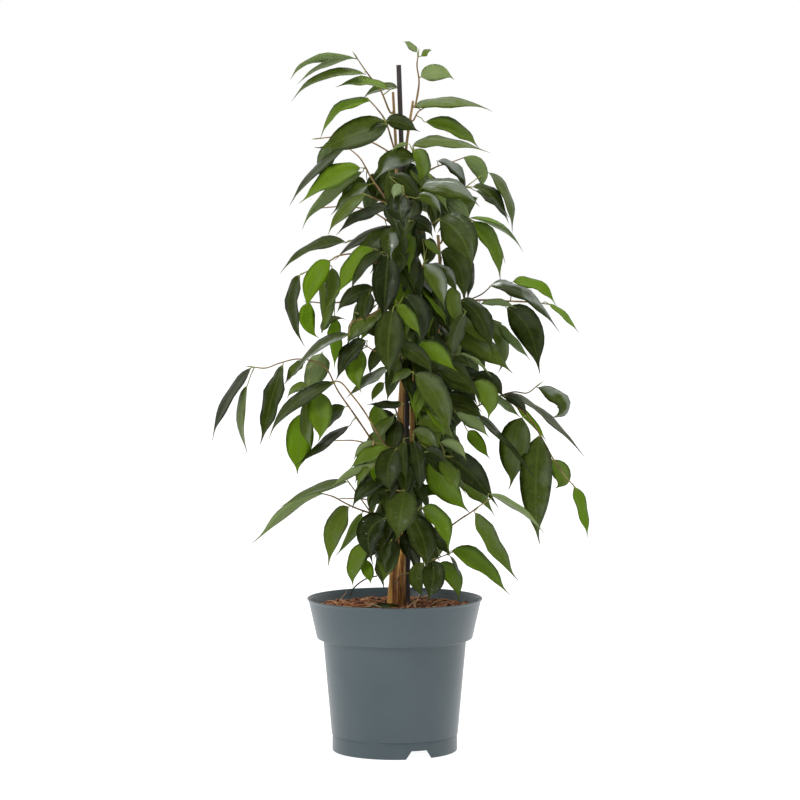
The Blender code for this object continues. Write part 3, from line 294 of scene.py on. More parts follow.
for hole in range(DRAIN_HOLES):
    turn = NOTCH_TURN + 2 * math.pi * (hole + 0.5) / DRAIN_HOLES
    bpy.ops.mesh.primitive_cylinder_add(
        vertices=24, radius=DRAIN_RADIUS, depth=DRAIN_CUT,
        location=(DRAIN_RING * math.cos(turn), DRAIN_RING * math.sin(turn), BASE_HEIGHT + 0.001))
    cut(pot, bpy.context.object)
alone(pot)
bpy.ops.object.shade_smooth_by_angle(angle=math.radians(30))

plastic = Finish("pot_plastic", Specular_IOR_Level=0.5)
cloud = plastic.noise(14, 4)
grain = plastic.noise(1500, 2)
scuffs = plastic.masked(plastic.noise(1, 6, 0.7, plastic.stretched((60, 60, 900))), 0.60, 0.74)
dust = plastic.masked(plastic.noise(260, 6, 0.65), 0.56, 0.70) * plastic.masked(cloud, 0.45, 0.65)
skin = plastic.ramp(cloud, [(0.3, (0.042, 0.064, 0.074)), (0.7, (0.052, 0.077, 0.088))])
skin = plastic.mixed(scuffs * 0.10, skin, (0.20, 0.24, 0.26))
skin = plastic.mixed(dust * 0.15, skin, (0.15, 0.13, 0.11))
pot.data.materials.append(plastic.ends(
    skin, 0.30 + grain * 0.10 + scuffs * 0.12 + dust * 0.2, plastic.bumped(grain + scuffs * 0.4, 0.00006)))
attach(pot, "root")
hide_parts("pot")

# The potting mix: loose composted bark, coir and straw, poured in and settled to a low mound a thumb below
# the rim. Its surface is a heap of flat chips, crumbs and fibres.
SOIL_TOP = 0.170
SOIL_MOUND = 0.003
SOIL_BUMP = 0.0012
SOIL_EDGE = 0.0935
STREW_REACH = 0.0965
MIX_REACH = 0.0985
MIX_GAP = 0.0006
MIX_SEED = 5
CHIPS = {
    "count": 1500, "size": (0.0035, 0.0125), "tilt": 0.32, "lift": (-0.0004, 0.0026), "tone": (0.0, 0.85)}
CRUMBS = {"count": 900, "size": (0.0014, 0.0042), "tilt": 0.8, "lift": (0.0, 0.0022), "tone": (0.0, 0.8)}
FIBRES = {"count": 420, "size": (0.010, 0.026), "tilt": 0.22, "lift": (0.001, 0.0032), "tone": (0.35, 1.0)}
GRAIN_SPREAD = (0.7, 1.3)
BED_SIDES, BED_RINGS = 96, 40
BED_SINK = 0.0008
BED_ROUGH = ((0.0016, 160), (0.0012, 420))
draw = random.Random(MIX_SEED)


def soil_height(radius, turn):
    mound = SOIL_MOUND * (1 - (radius / SOIL_EDGE) ** 2)
    swirl = SOIL_BUMP * math.sin(5 * turn + 60 * radius) * math.cos(9 * turn - 90 * radius)
    return SOIL_TOP + mound + swirl


class Copies:
    """Copies of one modelled shape, each with its own points and values, gathered into one mesh."""

    def __init__(self, model, sided=False):
        mesh = model.data
        self.points = np.array([tuple(v.co) for v in mesh.vertices])
        self.faces = [tuple(p.vertices) for p in mesh.polygons]
        self.sided = sided
        if sided:
            self.uv = np.array([tuple(corner.uv) for corner in mesh.uv_layers.active.data])
            self.under = np.repeat(
                [p.normal.z < 0 for p in mesh.polygons], [p.loop_total for p in mesh.polygons])
        self.sheets = []
        self.values = []
        bpy.data.objects.remove(model)

    def add(self, points, **values):
        self.sheets.append(points)
        self.values.append(values)

    def made(self, name, material):
        count, sheets = len(self.points), len(self.sheets)
        mesh = bpy.data.meshes.new(name)
        faces = [tuple(i + k * count for i in face) for k in range(sheets) for face in self.faces]
        mesh.from_pydata(np.concatenate(self.sheets).tolist(), [], faces)
        for key in self.values[0]:
            each = np.repeat([float(v[key]) for v in self.values], count)
            mesh.attributes.new(key, "FLOAT", "POINT").data.foreach_set("value", each.astype(np.float32))
        if self.sided:
            side = np.tile(self.under, sheets).astype(np.float32)
            mesh.attributes.new("under", "FLOAT", "CORNER").data.foreach_set("value", side)
            mesh.uv_layers.new(name="blade").data.foreach_set(
                "uv", np.tile(self.uv, (sheets, 1)).astype(np.float32).ravel())
        mesh.materials.append(material)
        mesh.shade_smooth()
        obj = bpy.data.objects.new(name, mesh)
        bpy.context.scene.collection.objects.link(obj)
        self.sheets, self.values = [], []
        return obj


def scattered(copies, count, size, tilt, lift, tone):
    """Strews copies over the mix: size, lift and tone are (least, most), tilt is how far they stand up."""
    for _ in range(count):
        radius, turn = STREW_REACH * math.sqrt(draw.random()), draw.uniform(0, 2 * math.pi)
        height = soil_height(min(radius, SOIL_EDGE), turn) + draw.uniform(*lift)
        spin, lean, heel = draw.uniform(0, 2 * math.pi), draw.gauss(0, tilt), draw.gauss(0, tilt)
        c, s = math.cos(spin), math.sin(spin)
        scale = np.array([draw.uniform(*span) for span in (size, GRAIN_SPREAD, GRAIN_SPREAD)])
        scale[1:] *= scale[0]
        points = copies.points * scale
        points = points @ np.array([[1, 0, math.sin(lean)], [0, 1, math.sin(heel)],
                                    [-math.sin(lean), -math.sin(heel), 1]])
        points = points @ np.array([[c, s, 0], [-s, c, 0], [0, 0, 1]])
        points = points + (radius * math.cos(turn), radius * math.sin(turn), height)
        over = max(0, np.hypot(points[:, 0], points[:, 1]).max() - MIX_REACH)
        copies.add(points - (over * math.cos(turn), over * math.sin(turn), 0), tone=draw.uniform(*tone))


slope = (BAND_TOP_RADIUS - BAND_FOOT_RADIUS) / (BAND_HEIGHT - LIP_HEIGHT)
edge = BAND_TOP_RADIUS - WALL - MIX_GAP - slope * (RIM_HEIGHT - LIP_HEIGHT - SOIL_TOP)
fill = [
    (FOOT_RADIUS - WALL - MIX_GAP, BASE_TOP + 0.0003), (BODY_TOP_RADIUS - WALL - MIX_GAP, BODY_TOP + WALL),
    (BAND_FOOT_RADIUS - WALL - 0.0009, BAND_FOOT + WALL + 0.0009), (edge, SOIL_TOP)]
fill += [(edge * (1 - k / BED_RINGS), SOIL_TOP + 1e-6) for k in range(1, BED_RINGS)]
bed = turned("mix_bed", fill, BED_SIDES)
for point in bed.data.vertices:
    if point.co.z >= SOIL_TOP - 1e-5:
        radius = point.co.xy.length
        rough = sum(most * noise.noise(point.co * often) for most, often in BED_ROUGH)
        level = soil_height(min(radius, SOIL_EDGE), math.atan2(point.co.y, point.co.x))
        point.co.z = level + rough - BED_SINK
alone(bed)
bpy.ops.object.shade_smooth()

bpy.ops.mesh.primitive_cube_add(size=1)
chip = bpy.context.object
bpy.ops.object.mode_set(mode="EDIT")
bpy.ops.mesh.subdivide(number_cuts=1, fractal=0.9, fractal_along_normal=0.2, seed=3)
bpy.ops.transform.resize(value=(1.0, 0.55, 0.16))
bpy.ops.mesh.vertices_smooth(factor=0.25)
bpy.ops.object.mode_set(mode="OBJECT")
chips = Copies(chip)
bpy.ops.mesh.primitive_ico_sphere_add(subdivisions=1, radius=0.5)
crumb = bpy.context.object
bpy.ops.object.mode_set(mode="EDIT")
bpy.ops.transform.vertex_random(offset=0.16, seed=4)
bpy.ops.object.mode_set(mode="OBJECT")
crumbs = Copies(crumb)
bpy.ops.mesh.primitive_cylinder_add(vertices=5, radius=0.035, depth=1, rotation=(0, math.pi / 2, 0))
fibre = bpy.context.object
bpy.ops.object.transform_apply(rotation=True)
bpy.ops.object.mode_set(mode="EDIT")
bpy.ops.mesh.subdivide(number_cuts=3, smoothness=0)
for share, rise in ((-0.5, -0.06), (-0.25, 0.02), (0, 0.07), (0.25, 0.03), (0.5, -0.05)):
    pick(fibre, lambda point: abs(point.co.x - share) < 0.05)
    bpy.ops.transform.translate(value=(0, rise * 0.7, rise))
bpy.ops.object.mode_set(mode="OBJECT")
fibres = Copies(fibre)
scattered(chips, **CHIPS)
scattered(crumbs, **CRUMBS)
scattered(fibres, **FIBRES)

mix = Finish("potting_mix", Specular_IOR_Level=0.25)
tone = mix.value("tone")
speckle = mix.noise(700, 5, 0.7)
stain = tone * 0.75 + mix.noise(2600, 3) * 0.35 - 0.05
earth = mix.ramp(stain, [
    (0.0, (0.015, 0.008, 0.005)), (0.2, (0.075, 0.028, 0.013)), (0.42, (0.22, 0.078, 0.033)),
    (0.62, (0.38, 0.16, 0.072)), (0.8, (0.56, 0.32, 0.17)), (1.0, (0.74, 0.54, 0.35))])
earth = mix.tinted(0.6, earth, mix.ramp(speckle, [(0.35, (0.42, 0.38, 0.35)), (0.65, (1.0, 1.0, 1.0))]))
mix_bark = mix.ends(earth, 0.82 + speckle * 0.12, mix.bumped(speckle, 0.0004))
bed.data.materials.append(mix_bark)
heap = [bed, chips.made("mix_chips", mix_bark), crumbs.made("mix_crumbs", mix_bark),
        fibres.made("mix_fibres", mix_bark)]
for piece in heap:
    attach(piece, "root")
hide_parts("soil")

# The stake: a thin dowel stained nearly black, cut square at the top and pushed into the mix beside the
# stems. It stands behind the leaves and shows as a short end above them. Its line is given as it shows from
# the front.
EYE = Vector((0.0063, -3.61, 0.63))
LOOK_DOWN = math.radians(3.26)
VIEW_MIDDLE = 400
VIEW_SCALE = 3000
METRES_PER_POINT = 0.0012034
STAKE_RADIUS = 0.0029
STAKE_DEPTH = 0.14
ROOT_BEND = 0.012
STAKE_LINE = (
    (408, 606, 0.001), (407.2, 500, 0.001), (406.5, 400, 0.001), (405, 280, 0.000), (402, 163, -0.001),
    (398.7, 65, -0.002))


def at(x, y, depth):
    """The point that shows at x, y in the front view, this far behind the pot's axis."""
    up, ahead = VIEW_MIDDLE - y, VIEW_SCALE
    ray = Vector((
        x - VIEW_MIDDLE,
        ahead * math.cos(LOOK_DOWN) + up * math.sin(LOOK_DOWN),
        up * math.cos(LOOK_DOWN) - ahead * math.sin(LOOK_DOWN)))
    return EYE + ray * ((depth - EYE.y) / ray.y)


def shown(point):
    """Where a point shows in the front view."""
    ray = point - EYE
    ahead = ray.y * math.cos(LOOK_DOWN) - ray.z * math.sin(LOOK_DOWN)
    up = ray.y * math.sin(LOOK_DOWN) + ray.z * math.cos(LOOK_DOWN)
    return VIEW_MIDDLE + VIEW_SCALE * ray.x / ahead, VIEW_MIDDLE - VIEW_SCALE * up / ahead


def smooth_line(points, between=2):
    """A Catmull-Rom curve through the points, with this many pieces between each two."""
    ends = [points[0] * 2 - points[1], *points, points[-1] * 2 - points[-2]]
    line = []
    for a, b, c, d in zip(ends, ends[1:], ends[2:], ends[3:]):
        for k in range(between):
            t = k / between
            line.append(0.5 * (b * 2 + (c - a) * t + (a * 2 - b * 5 + c * 4 - d) * t ** 2
                               + (b * 3 - a - c * 3 + d) * t ** 3))
    return [*line, points[-1]]


def traced(points, between=2):
    return smooth_line([at(*point) for point in points], between)


def spaced_radii(first, last, count):
    return [first + (last - first) * k / (count - 1) for k in range(count)]


def rooted(line, depth):
    """The line with a straight foot that reaches this deep into the mix."""
    foot = [Vector((line[0].x, line[0].y, SOIL_TOP - below)) for below in (depth, ROOT_BEND)]
    return [*foot, *line]


def rods(name, lines, material, sides):
    """Round stalks along lines of (point, radius), drawn as one bevelled curve and turned into a mesh."""
    curve = bpy.data.curves.new(name, "CURVE")
    curve.dimensions = "3D"
    curve.bevel_depth = 1.0
    curve.bevel_resolution = (sides - 4) // 2
    curve.use_fill_caps = True
    for line in lines:
        spline = curve.splines.new("POLY")
        spline.points.add(len(line) - 1)
        for knot, (point, radius) in zip(spline.points, line):
            knot.co = (*point, 1)
            knot.radius = radius
    obj = bpy.data.objects.new(name, curve)
    bpy.context.scene.collection.objects.link(obj)
    alone(obj)
    bpy.ops.object.convert(target="MESH")
    obj = bpy.context.object
    obj.data.materials.append(material)
    bpy.ops.object.shade_smooth_by_angle(angle=math.radians(50))
    return obj


line = rooted(traced(STAKE_LINE, 4), STAKE_DEPTH)
tint = Finish("stake_stain")
fibrous = tint.noise(1, 4, 0.6, tint.stretched((900, 900, 26)))
worn = tint.masked(tint.noise(90, 4, 0.6), 0.55, 0.72)
stain = tint.ramp(fibrous, [
    (0.3, (0.012, 0.009, 0.009)), (0.6, (0.030, 0.020, 0.018)), (0.8, (0.075, 0.045, 0.032))])
stain = tint.mixed(worn * 0.35, stain, (0.12, 0.075, 0.05))
stake = rods("dark_stake", [[(point, STAKE_RADIUS) for point in line]],
             tint.ends(stain, 0.55 + fibrous * 0.2, tint.bumped(fibrous, 0.0003)), 16)
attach(stake, "root")
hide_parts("stake")

# The stems: three slender trunks of the fig, rooted in the mix and leaning on the stake. Their thin bark is
# ochre over green wood, streaked reddish brown, browner towards the top, with small pale pores. STEMS gives
# the radii at foot and top from which twigs start, and each line as it shows from the front.
STEMS = {
    "left": (0.0049, 0.0016, (
        (391.5, 608, -0.012), (394, 560, -0.012), (396, 530, -0.012), (399, 485, -0.012),
        (400.5, 450, -0.012), (401.5, 400, -0.012), (406, 335, -0.013), (406, 290, -0.013),
        (405, 250, -0.012), (398, 215, -0.010), (396, 150, -0.008), (393, 92, -0.006))),
    "right": (0.0039, 0.0014, (
        (401, 606, 0.006), (402, 575, 0.009), (404.5, 540, 0.013), (409, 505, 0.015), (412, 470, 0.015),
        (412, 400, 0.015), (411, 320, 0.015), (410, 250, 0.014), (406, 190, 0.013), (406, 150, 0.011),
        (412, 108, 0.004), (413, 101, 0.002))),
    "back": (0.0035, 0.0015, (
        (405, 602, 0.018), (409, 545, 0.026), (415, 480, 0.034), (427, 400, 0.038), (437, 335, 0.038),
        (441, 290, 0.036), (438, 235, 0.030))),
}
STEM_DEPTH = 0.060
STEM_HEIGHTS = (0.17, 0.30, 0.42, 0.50, 0.56, 0.66, 0.81)
STEM_RADII = {
    "left": (0.0056, 0.0047, 0.0040, 0.0034, 0.0029, 0.0022, 0.0014),
    "right": (0.0043, 0.0035, 0.0030, 0.0028, 0.0026, 0.0022, 0.0013),
    "back": (0.0036, 0.0032, 0.0030, 0.0026, 0.0022, 0.0016, 0.0013)}
STEM_SHIFTS = {"left": 0.0004, "right": -0.0012, "back": 0}
SHIFT_TOP, SHIFT_FADE = 0.34, 0.08
SWELLS = ((0.10, (3, 7), 55), (0.05, (1, 2), 170))


def stem_line(name):
    return traced(STEMS[name][2])


bark = Finish("fig_bark", Specular_IOR_Level=0.35)
streak = bark.noise(1, 5, 0.6, bark.stretched((260, 260, 14)))
band = bark.noise(1, 3, 0.5, bark.stretched((60, 60, 170)))
pore = bark.masked(bark.noise(1, 2, 0.5, bark.stretched((700, 700, 1100))), 0.66, 0.74)
height = bark.part(bark.place(), 2)
peel = bark.ramp(streak, [
    (0.32, (0.095, 0.028, 0.013)), (0.43, (0.27, 0.105, 0.028)), (0.52, (0.52, 0.26, 0.055)),
    (0.66, (0.64, 0.37, 0.085)), (0.8, (0.68, 0.46, 0.16))])
young = bark.ramp(streak, [(0.3, (0.18, 0.095, 0.038)), (0.7, (0.38, 0.24, 0.090))])
peel = bark.mixed(bark.masked(height, 0.28, 0.55), peel, young)
peel = bark.mixed(bark.masked(band, 0.62, 0.72) * 0.45, peel, (0.13, 0.06, 0.035))
peel = bark.mixed(pore * 0.6, peel, (0.55, 0.42, 0.25))
fig_bark = bark.ends(
    peel, 0.52 + streak * 0.25, bark.bumped(streak * 0.5 + band * 0.4 + pore * 0.5, 0.0005))
for name in STEMS:
    knots = []
    for point in smooth_line(rooted(stem_line(name), STEM_DEPTH), 4):
        swell = 1
        for most, spot, often in SWELLS:
            swell += most * noise.noise(Vector((*spot, point.z * often)))
        shift = STEM_SHIFTS[name] * min(1, max(0, (SHIFT_TOP - point.z) / SHIFT_FADE))
        radius = float(np.interp(point.z, STEM_HEIGHTS, STEM_RADII[name]))
        knots.append((point + Vector((shift, 0, 0)), radius * swell))
    stem = rods(f"trunk_{name}", [knots], fig_bark, 12)
    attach(stem, "root")
    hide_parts(f"stem_{name}")

# A leaf: a thin leathery blade folded along its midrib, with waved margins and a long drip tip. It is dark
# and glossy above, dull and paler below, lime while young. One blade is modelled flat, then laid along each
# leaf's own spine. SHADES gives how light each look is, and how much painted sheen, a pale reflection mixed
# into the colour, and clear coat it gets.
STATIONS = (0, 0.02, 0.06, 0.12, 0.20, 0.30, 0.41, 0.52, 0.62, 0.70, 0.77, 0.83, 0.885, 0.94, 1.0)
HALF_WIDTHS = (0.045, 0.18, 0.42, 0.68, 0.88, 0.985, 1.0, 0.94, 0.82, 0.66, 0.46, 0.26, 0.12, 0.055, 0.018)
THICKNESS = 0.00035
LEAF_SEED = 23
LEAF_SHARE = 0.40
WIDTH_SHARE = 1.1
WIDEST = 0.034
NARROWEST = 0.012
LEAST_LENGTH_SHARE = 2.1
MOST_LEAN = 0.040
MOST_ROLL = math.radians(78)
LEAST_STALK = 0.003
STALK_WIDTH = 0.0010
BLADE = 0.0007
ROOT_LEAST, ROOT_MOST = 0.11, 0.89
LEAN_BACK_DEPTH = 0.02
HANDLE_LEAN = 0.6
PLANT_MIDDLE = 405
FOLD, WAVE, CURL = (0.15, 0.60), (0.04, 0.16), (-0.05, 0.25)
WAVE_START, WAVE_BEATS = (0, 6.28), (9, 16)
HOOK, TWIST = 0.10, 0.35
HOOK_START = 0.8
LEAST_OPEN = 0.25
FOLD_EASE, FOLD_CENTRE, FOLD_NARROWS = 0.35, 0.33, 0.12
DARK, MID, VIVID, LIME, SHEEN, PALE, HIDDEN = "dark", "mid", "vivid", "lime", "sheen", "pale", "hidden"
SHADES = {DARK: (0.09, 0.10), MID: (0.45, 0.25), VIVID: (0.66, 0.14), LIME: (0.94, 0.0), SHEEN: (0.20, 1.0),
          PALE: (0.60, 0.2), HIDDEN: (0.18, 0.15)}

bpy.ops.object.select_all(action="DESELECT")
steps = len(STATIONS) - 1
bpy.ops.mesh.primitive_grid_add(x_subdivisions=4, y_subdivisions=steps, size=1, location=(0, 0.5, 0))
blade = bpy.context.object
bpy.ops.object.transform_apply(location=True)
rows = [{v.index for v in blade.data.vertices if abs(v.co.y * steps - k) < 0.1} for k in range(steps + 1)]
bpy.ops.object.mode_set(mode="EDIT")
for k, (station, half) in enumerate(zip(STATIONS, HALF_WIDTHS)):
    pick(blade, lambda point: point.index in rows[k])
    bpy.ops.transform.translate(value=(0, station - k / steps, 0))
    bpy.ops.transform.resize(value=(2 * half, 1, 1), center_override=(0, station, 0))
bpy.ops.mesh.select_all(action="SELECT")
bpy.ops.mesh.duplicate()
bpy.ops.mesh.flip_normals()
bpy.ops.transform.translate(value=(0, 0, -THICKNESS))
pick(blade, lambda point: point.co.z < -THICKNESS / 2 and (
    point.co.y < 1e-5 or point.co.y > 1 - 1e-5
    or abs(point.co.x) > 0.8 * np.interp(point.co.y, STATIONS, HALF_WIDTHS)))
bpy.ops.transform.translate(value=(0, 0, THICKNESS))
bpy.ops.mesh.select_all(action="SELECT")
bpy.ops.mesh.remove_doubles(threshold=1e-6)
bpy.ops.object.mode_set(mode="OBJECT")
blades = Copies(blade, sided=True)
places, ranks = np.unique(blades.points[:, 1].round(5), return_inverse=True)


def leaf_form(row, depth):
    """The spine, the face's direction and the true width of a leaf, from how it shows at a depth."""
    base_x, base_y, mid_x, mid_y, tip_x, tip_y, width, look = row[:8]
    base, tip = at(base_x, base_y, depth), at(tip_x, tip_y, depth)
    bend = at(mid_x, mid_y, depth)
    seen_length = ((bend - base).length + (tip - bend).length + (tip - base).length) / 2
    seen_width = width * METRES_PER_POINT * WIDTH_SHARE
    true_width = max(seen_width, min(WIDEST, max(NARROWEST, LEAF_SHARE * seen_length)))
    true_length = max(seen_length, LEAST_LENGTH_SHARE * seen_width)
    lean = min(MOST_LEAN, math.sqrt(max(0, true_length ** 2 - seen_length ** 2)))
    lean *= 1 if depth > LEAN_BACK_DEPTH else -1
    tip = at(tip_x, tip_y, depth + lean)
    handle = at(mid_x, mid_y, depth + HANDLE_LEAN * lean)
    roll = min(MOST_ROLL, math.acos(min(1, seen_width / true_width)))
    if look == PALE:
        roll = math.pi - roll
    along = (tip - base).normalized()
    outward = Vector((math.copysign(1, (base + tip).x / 2 - at(PLANT_MIDDLE, base_y, 0).x), 0, 1))
    side = along.cross(Vector((0, 1, 0)))
    side = side.normalized() * math.copysign(1, side.dot(outward))
    face = Vector((0, -1, 0)) * math.cos(roll) + side * math.sin(roll)
    return (base, handle, tip), face, true_width


def spine_at(spine, share):
    """The point at a share of a spine's length, and the way the spine runs there."""
    base, handle, tip = spine
    point = base * (1 - share) ** 2 + handle * (2 * share * (1 - share)) + tip * share ** 2
    along = ((handle - base) * (1 - share) + (tip - handle) * share).normalized()
    return point, along


def leaf_frame(spine, face, share):
    """Point, sideways and outward directions of the blade at a share of its length."""
    point, along = spine_at(spine, share)
    across = face.cross(along).normalized()
    return point, across, along.cross(across)


def stalk_root(twigs, base):
    """The point of the spray's twigs that the leaf's stalk grows from."""
    best = None
    for line in twigs:
        for a, b in zip(line, line[1:]):
            _, share = intersect_point_line(base, a, b)
            point = a + (b - a) * min(ROOT_MOST, max(ROOT_LEAST, share))
            if best is None or (point - base).length < (best - base).length:
                best = point
    return best


def grown_leaf(row, depth, twigs):
    """A leaf's stalk root, spine, face and width where it stands on its spray."""
    spine, face, width = leaf_form(row, depth)
    root = stalk_root(twigs, spine[0])
    if (spine[0] - root).length < LEAST_STALK:
        spine = (root + spine_at(spine, 0)[1] * LEAST_STALK, *spine[1:])
    return root, spine, face, width


def laid(spine, face, width, shape):
    """The flat blade's points, laid along a spine with this leaf's own fold, waves and curl."""
    frames = [leaf_frame(spine, face, share) for share in places]
    middle, across, out = (np.array([tuple(spot[k]) for spot in frames])[ranks] for k in range(3))
    x, y, z = blades.points.T
    side = np.abs(x)
    fold, wave, curl, left, right, beat = (
        shape.uniform(*span) for span in (FOLD, WAVE, CURL, WAVE_START, WAVE_START, WAVE_BEATS))
    hook, twist = shape.gauss(0, HOOK), shape.gauss(0, TWIST)
    open_face = max(LEAST_OPEN, abs(face.y))
    fold *= 0.3 + 0.7 * open_face
    turn = np.where(x < 0, left, right)
    lift = fold * (side * (1 - FOLD_EASE * side) - FOLD_CENTRE * np.interp(y, STATIONS, HALF_WIDTHS))
    lift = lift + wave * open_face * side ** 1.5 * np.sin(beat * y + turn) * 2
    lift = lift - curl * open_face * side ** 2 + twist * open_face * x * (y - 0.4)
    tail = hook * np.clip((y - HOOK_START) / 0.2, 0, 1) ** 2
    return (middle + across * (x * width / 2 * (1 - FOLD_NARROWS * fold) + tail * width)[:, None]
            + out * (lift * width / 2 + z)[:, None])


leafy = Finish("fig_leaf", Specular_IOR_Level=0.07, Coat_Roughness=0.20)
shade, bloom, under = leafy.value("shade"), leafy.value("bloom"), leafy.value("under")
sheet = leafy.node("ShaderNodeUVMap", {"uv_map": "blade"})
u, v = leafy.part(sheet, 0), leafy.part(sheet, 1)
side = u.worked("ABSOLUTE", u * 2 - 1)
rib = leafy.masked(side, 0.11, 0.02)
beat = v.worked("FRACT", v * 15 - side * 1.3)
vein = leafy.masked(beat.worked("ABSOLUTE", beat - 0.5), 0.16, 0.02)
mottle = leafy.noise(90, 4, 0.6)
fleck = leafy.noise(900, 3, 0.6)
tone = shade + (mottle - 0.5) * 0.28 + vein * 0.035
above = leafy.ramp(tone, [
    (0.0, (0.011, 0.017, 0.002)), (0.22, (0.040, 0.058, 0.007)), (0.45, (0.094, 0.135, 0.017)),
    (0.70, (0.135, 0.215, 0.014)), (1.0, (0.160, 0.285, 0.008))])
above = leafy.mixed(rib * (0.16 + shade * 0.2), above, (0.16, 0.21, 0.045))
# Painted sheen: each leaf's sheen share mixes a patch on one half of the blade towards pale grey-green, a
# painted reflection of the lamps; the same mask also sets the clear coat.
coat_and_painted_sheen = bloom * leafy.masked(u + (leafy.noise(38, 2, 0.4) - 0.5) * 1.6, 0.42, 0.80)
above = leafy.mixed(coat_and_painted_sheen * 0.50, above, (0.29, 0.33, 0.28))
low = leafy.masked(leafy.part(leafy.place(), 2), 0.36, 0.26)
spots = leafy.masked(leafy.noise(560, 1, 0.3), 0.75, 0.78)
above = leafy.mixed(spots * low * 0.8, above, (0.46, 0.50, 0.40))
below = leafy.ramp(tone, [
    (0.0, (0.070, 0.100, 0.035)), (0.5, (0.200, 0.265, 0.110)), (1.0, (0.34, 0.43, 0.14))])
below = leafy.mixed(rib * 0.4, below, (0.34, 0.38, 0.22))
blade_tint = leafy.mixed(under, above, below)
relief = vein * 0.25 + fleck * 0.2 - rib * 0.6
leafy.ends(blade_tint, 0.26 + under * 0.30 + fleck * 0.10, leafy.bumped(relief, 0.0003))
leafy.plug(leafy.shader.inputs["Coat Weight"], coat_and_painted_sheen)
glow = leafy.node("ShaderNodeBsdfTranslucent", {}, {"Color": (0.20, 0.36, 0.008)})
both = leafy.node("ShaderNodeMixShader", {}, {
    0: shade * 0.38 + 0.05, 1: Wire(leafy, leafy.shader.outputs[0]), 2: glow})
leafy.plug(leafy.output.inputs["Surface"], both)
fig_leaf = leafy.material

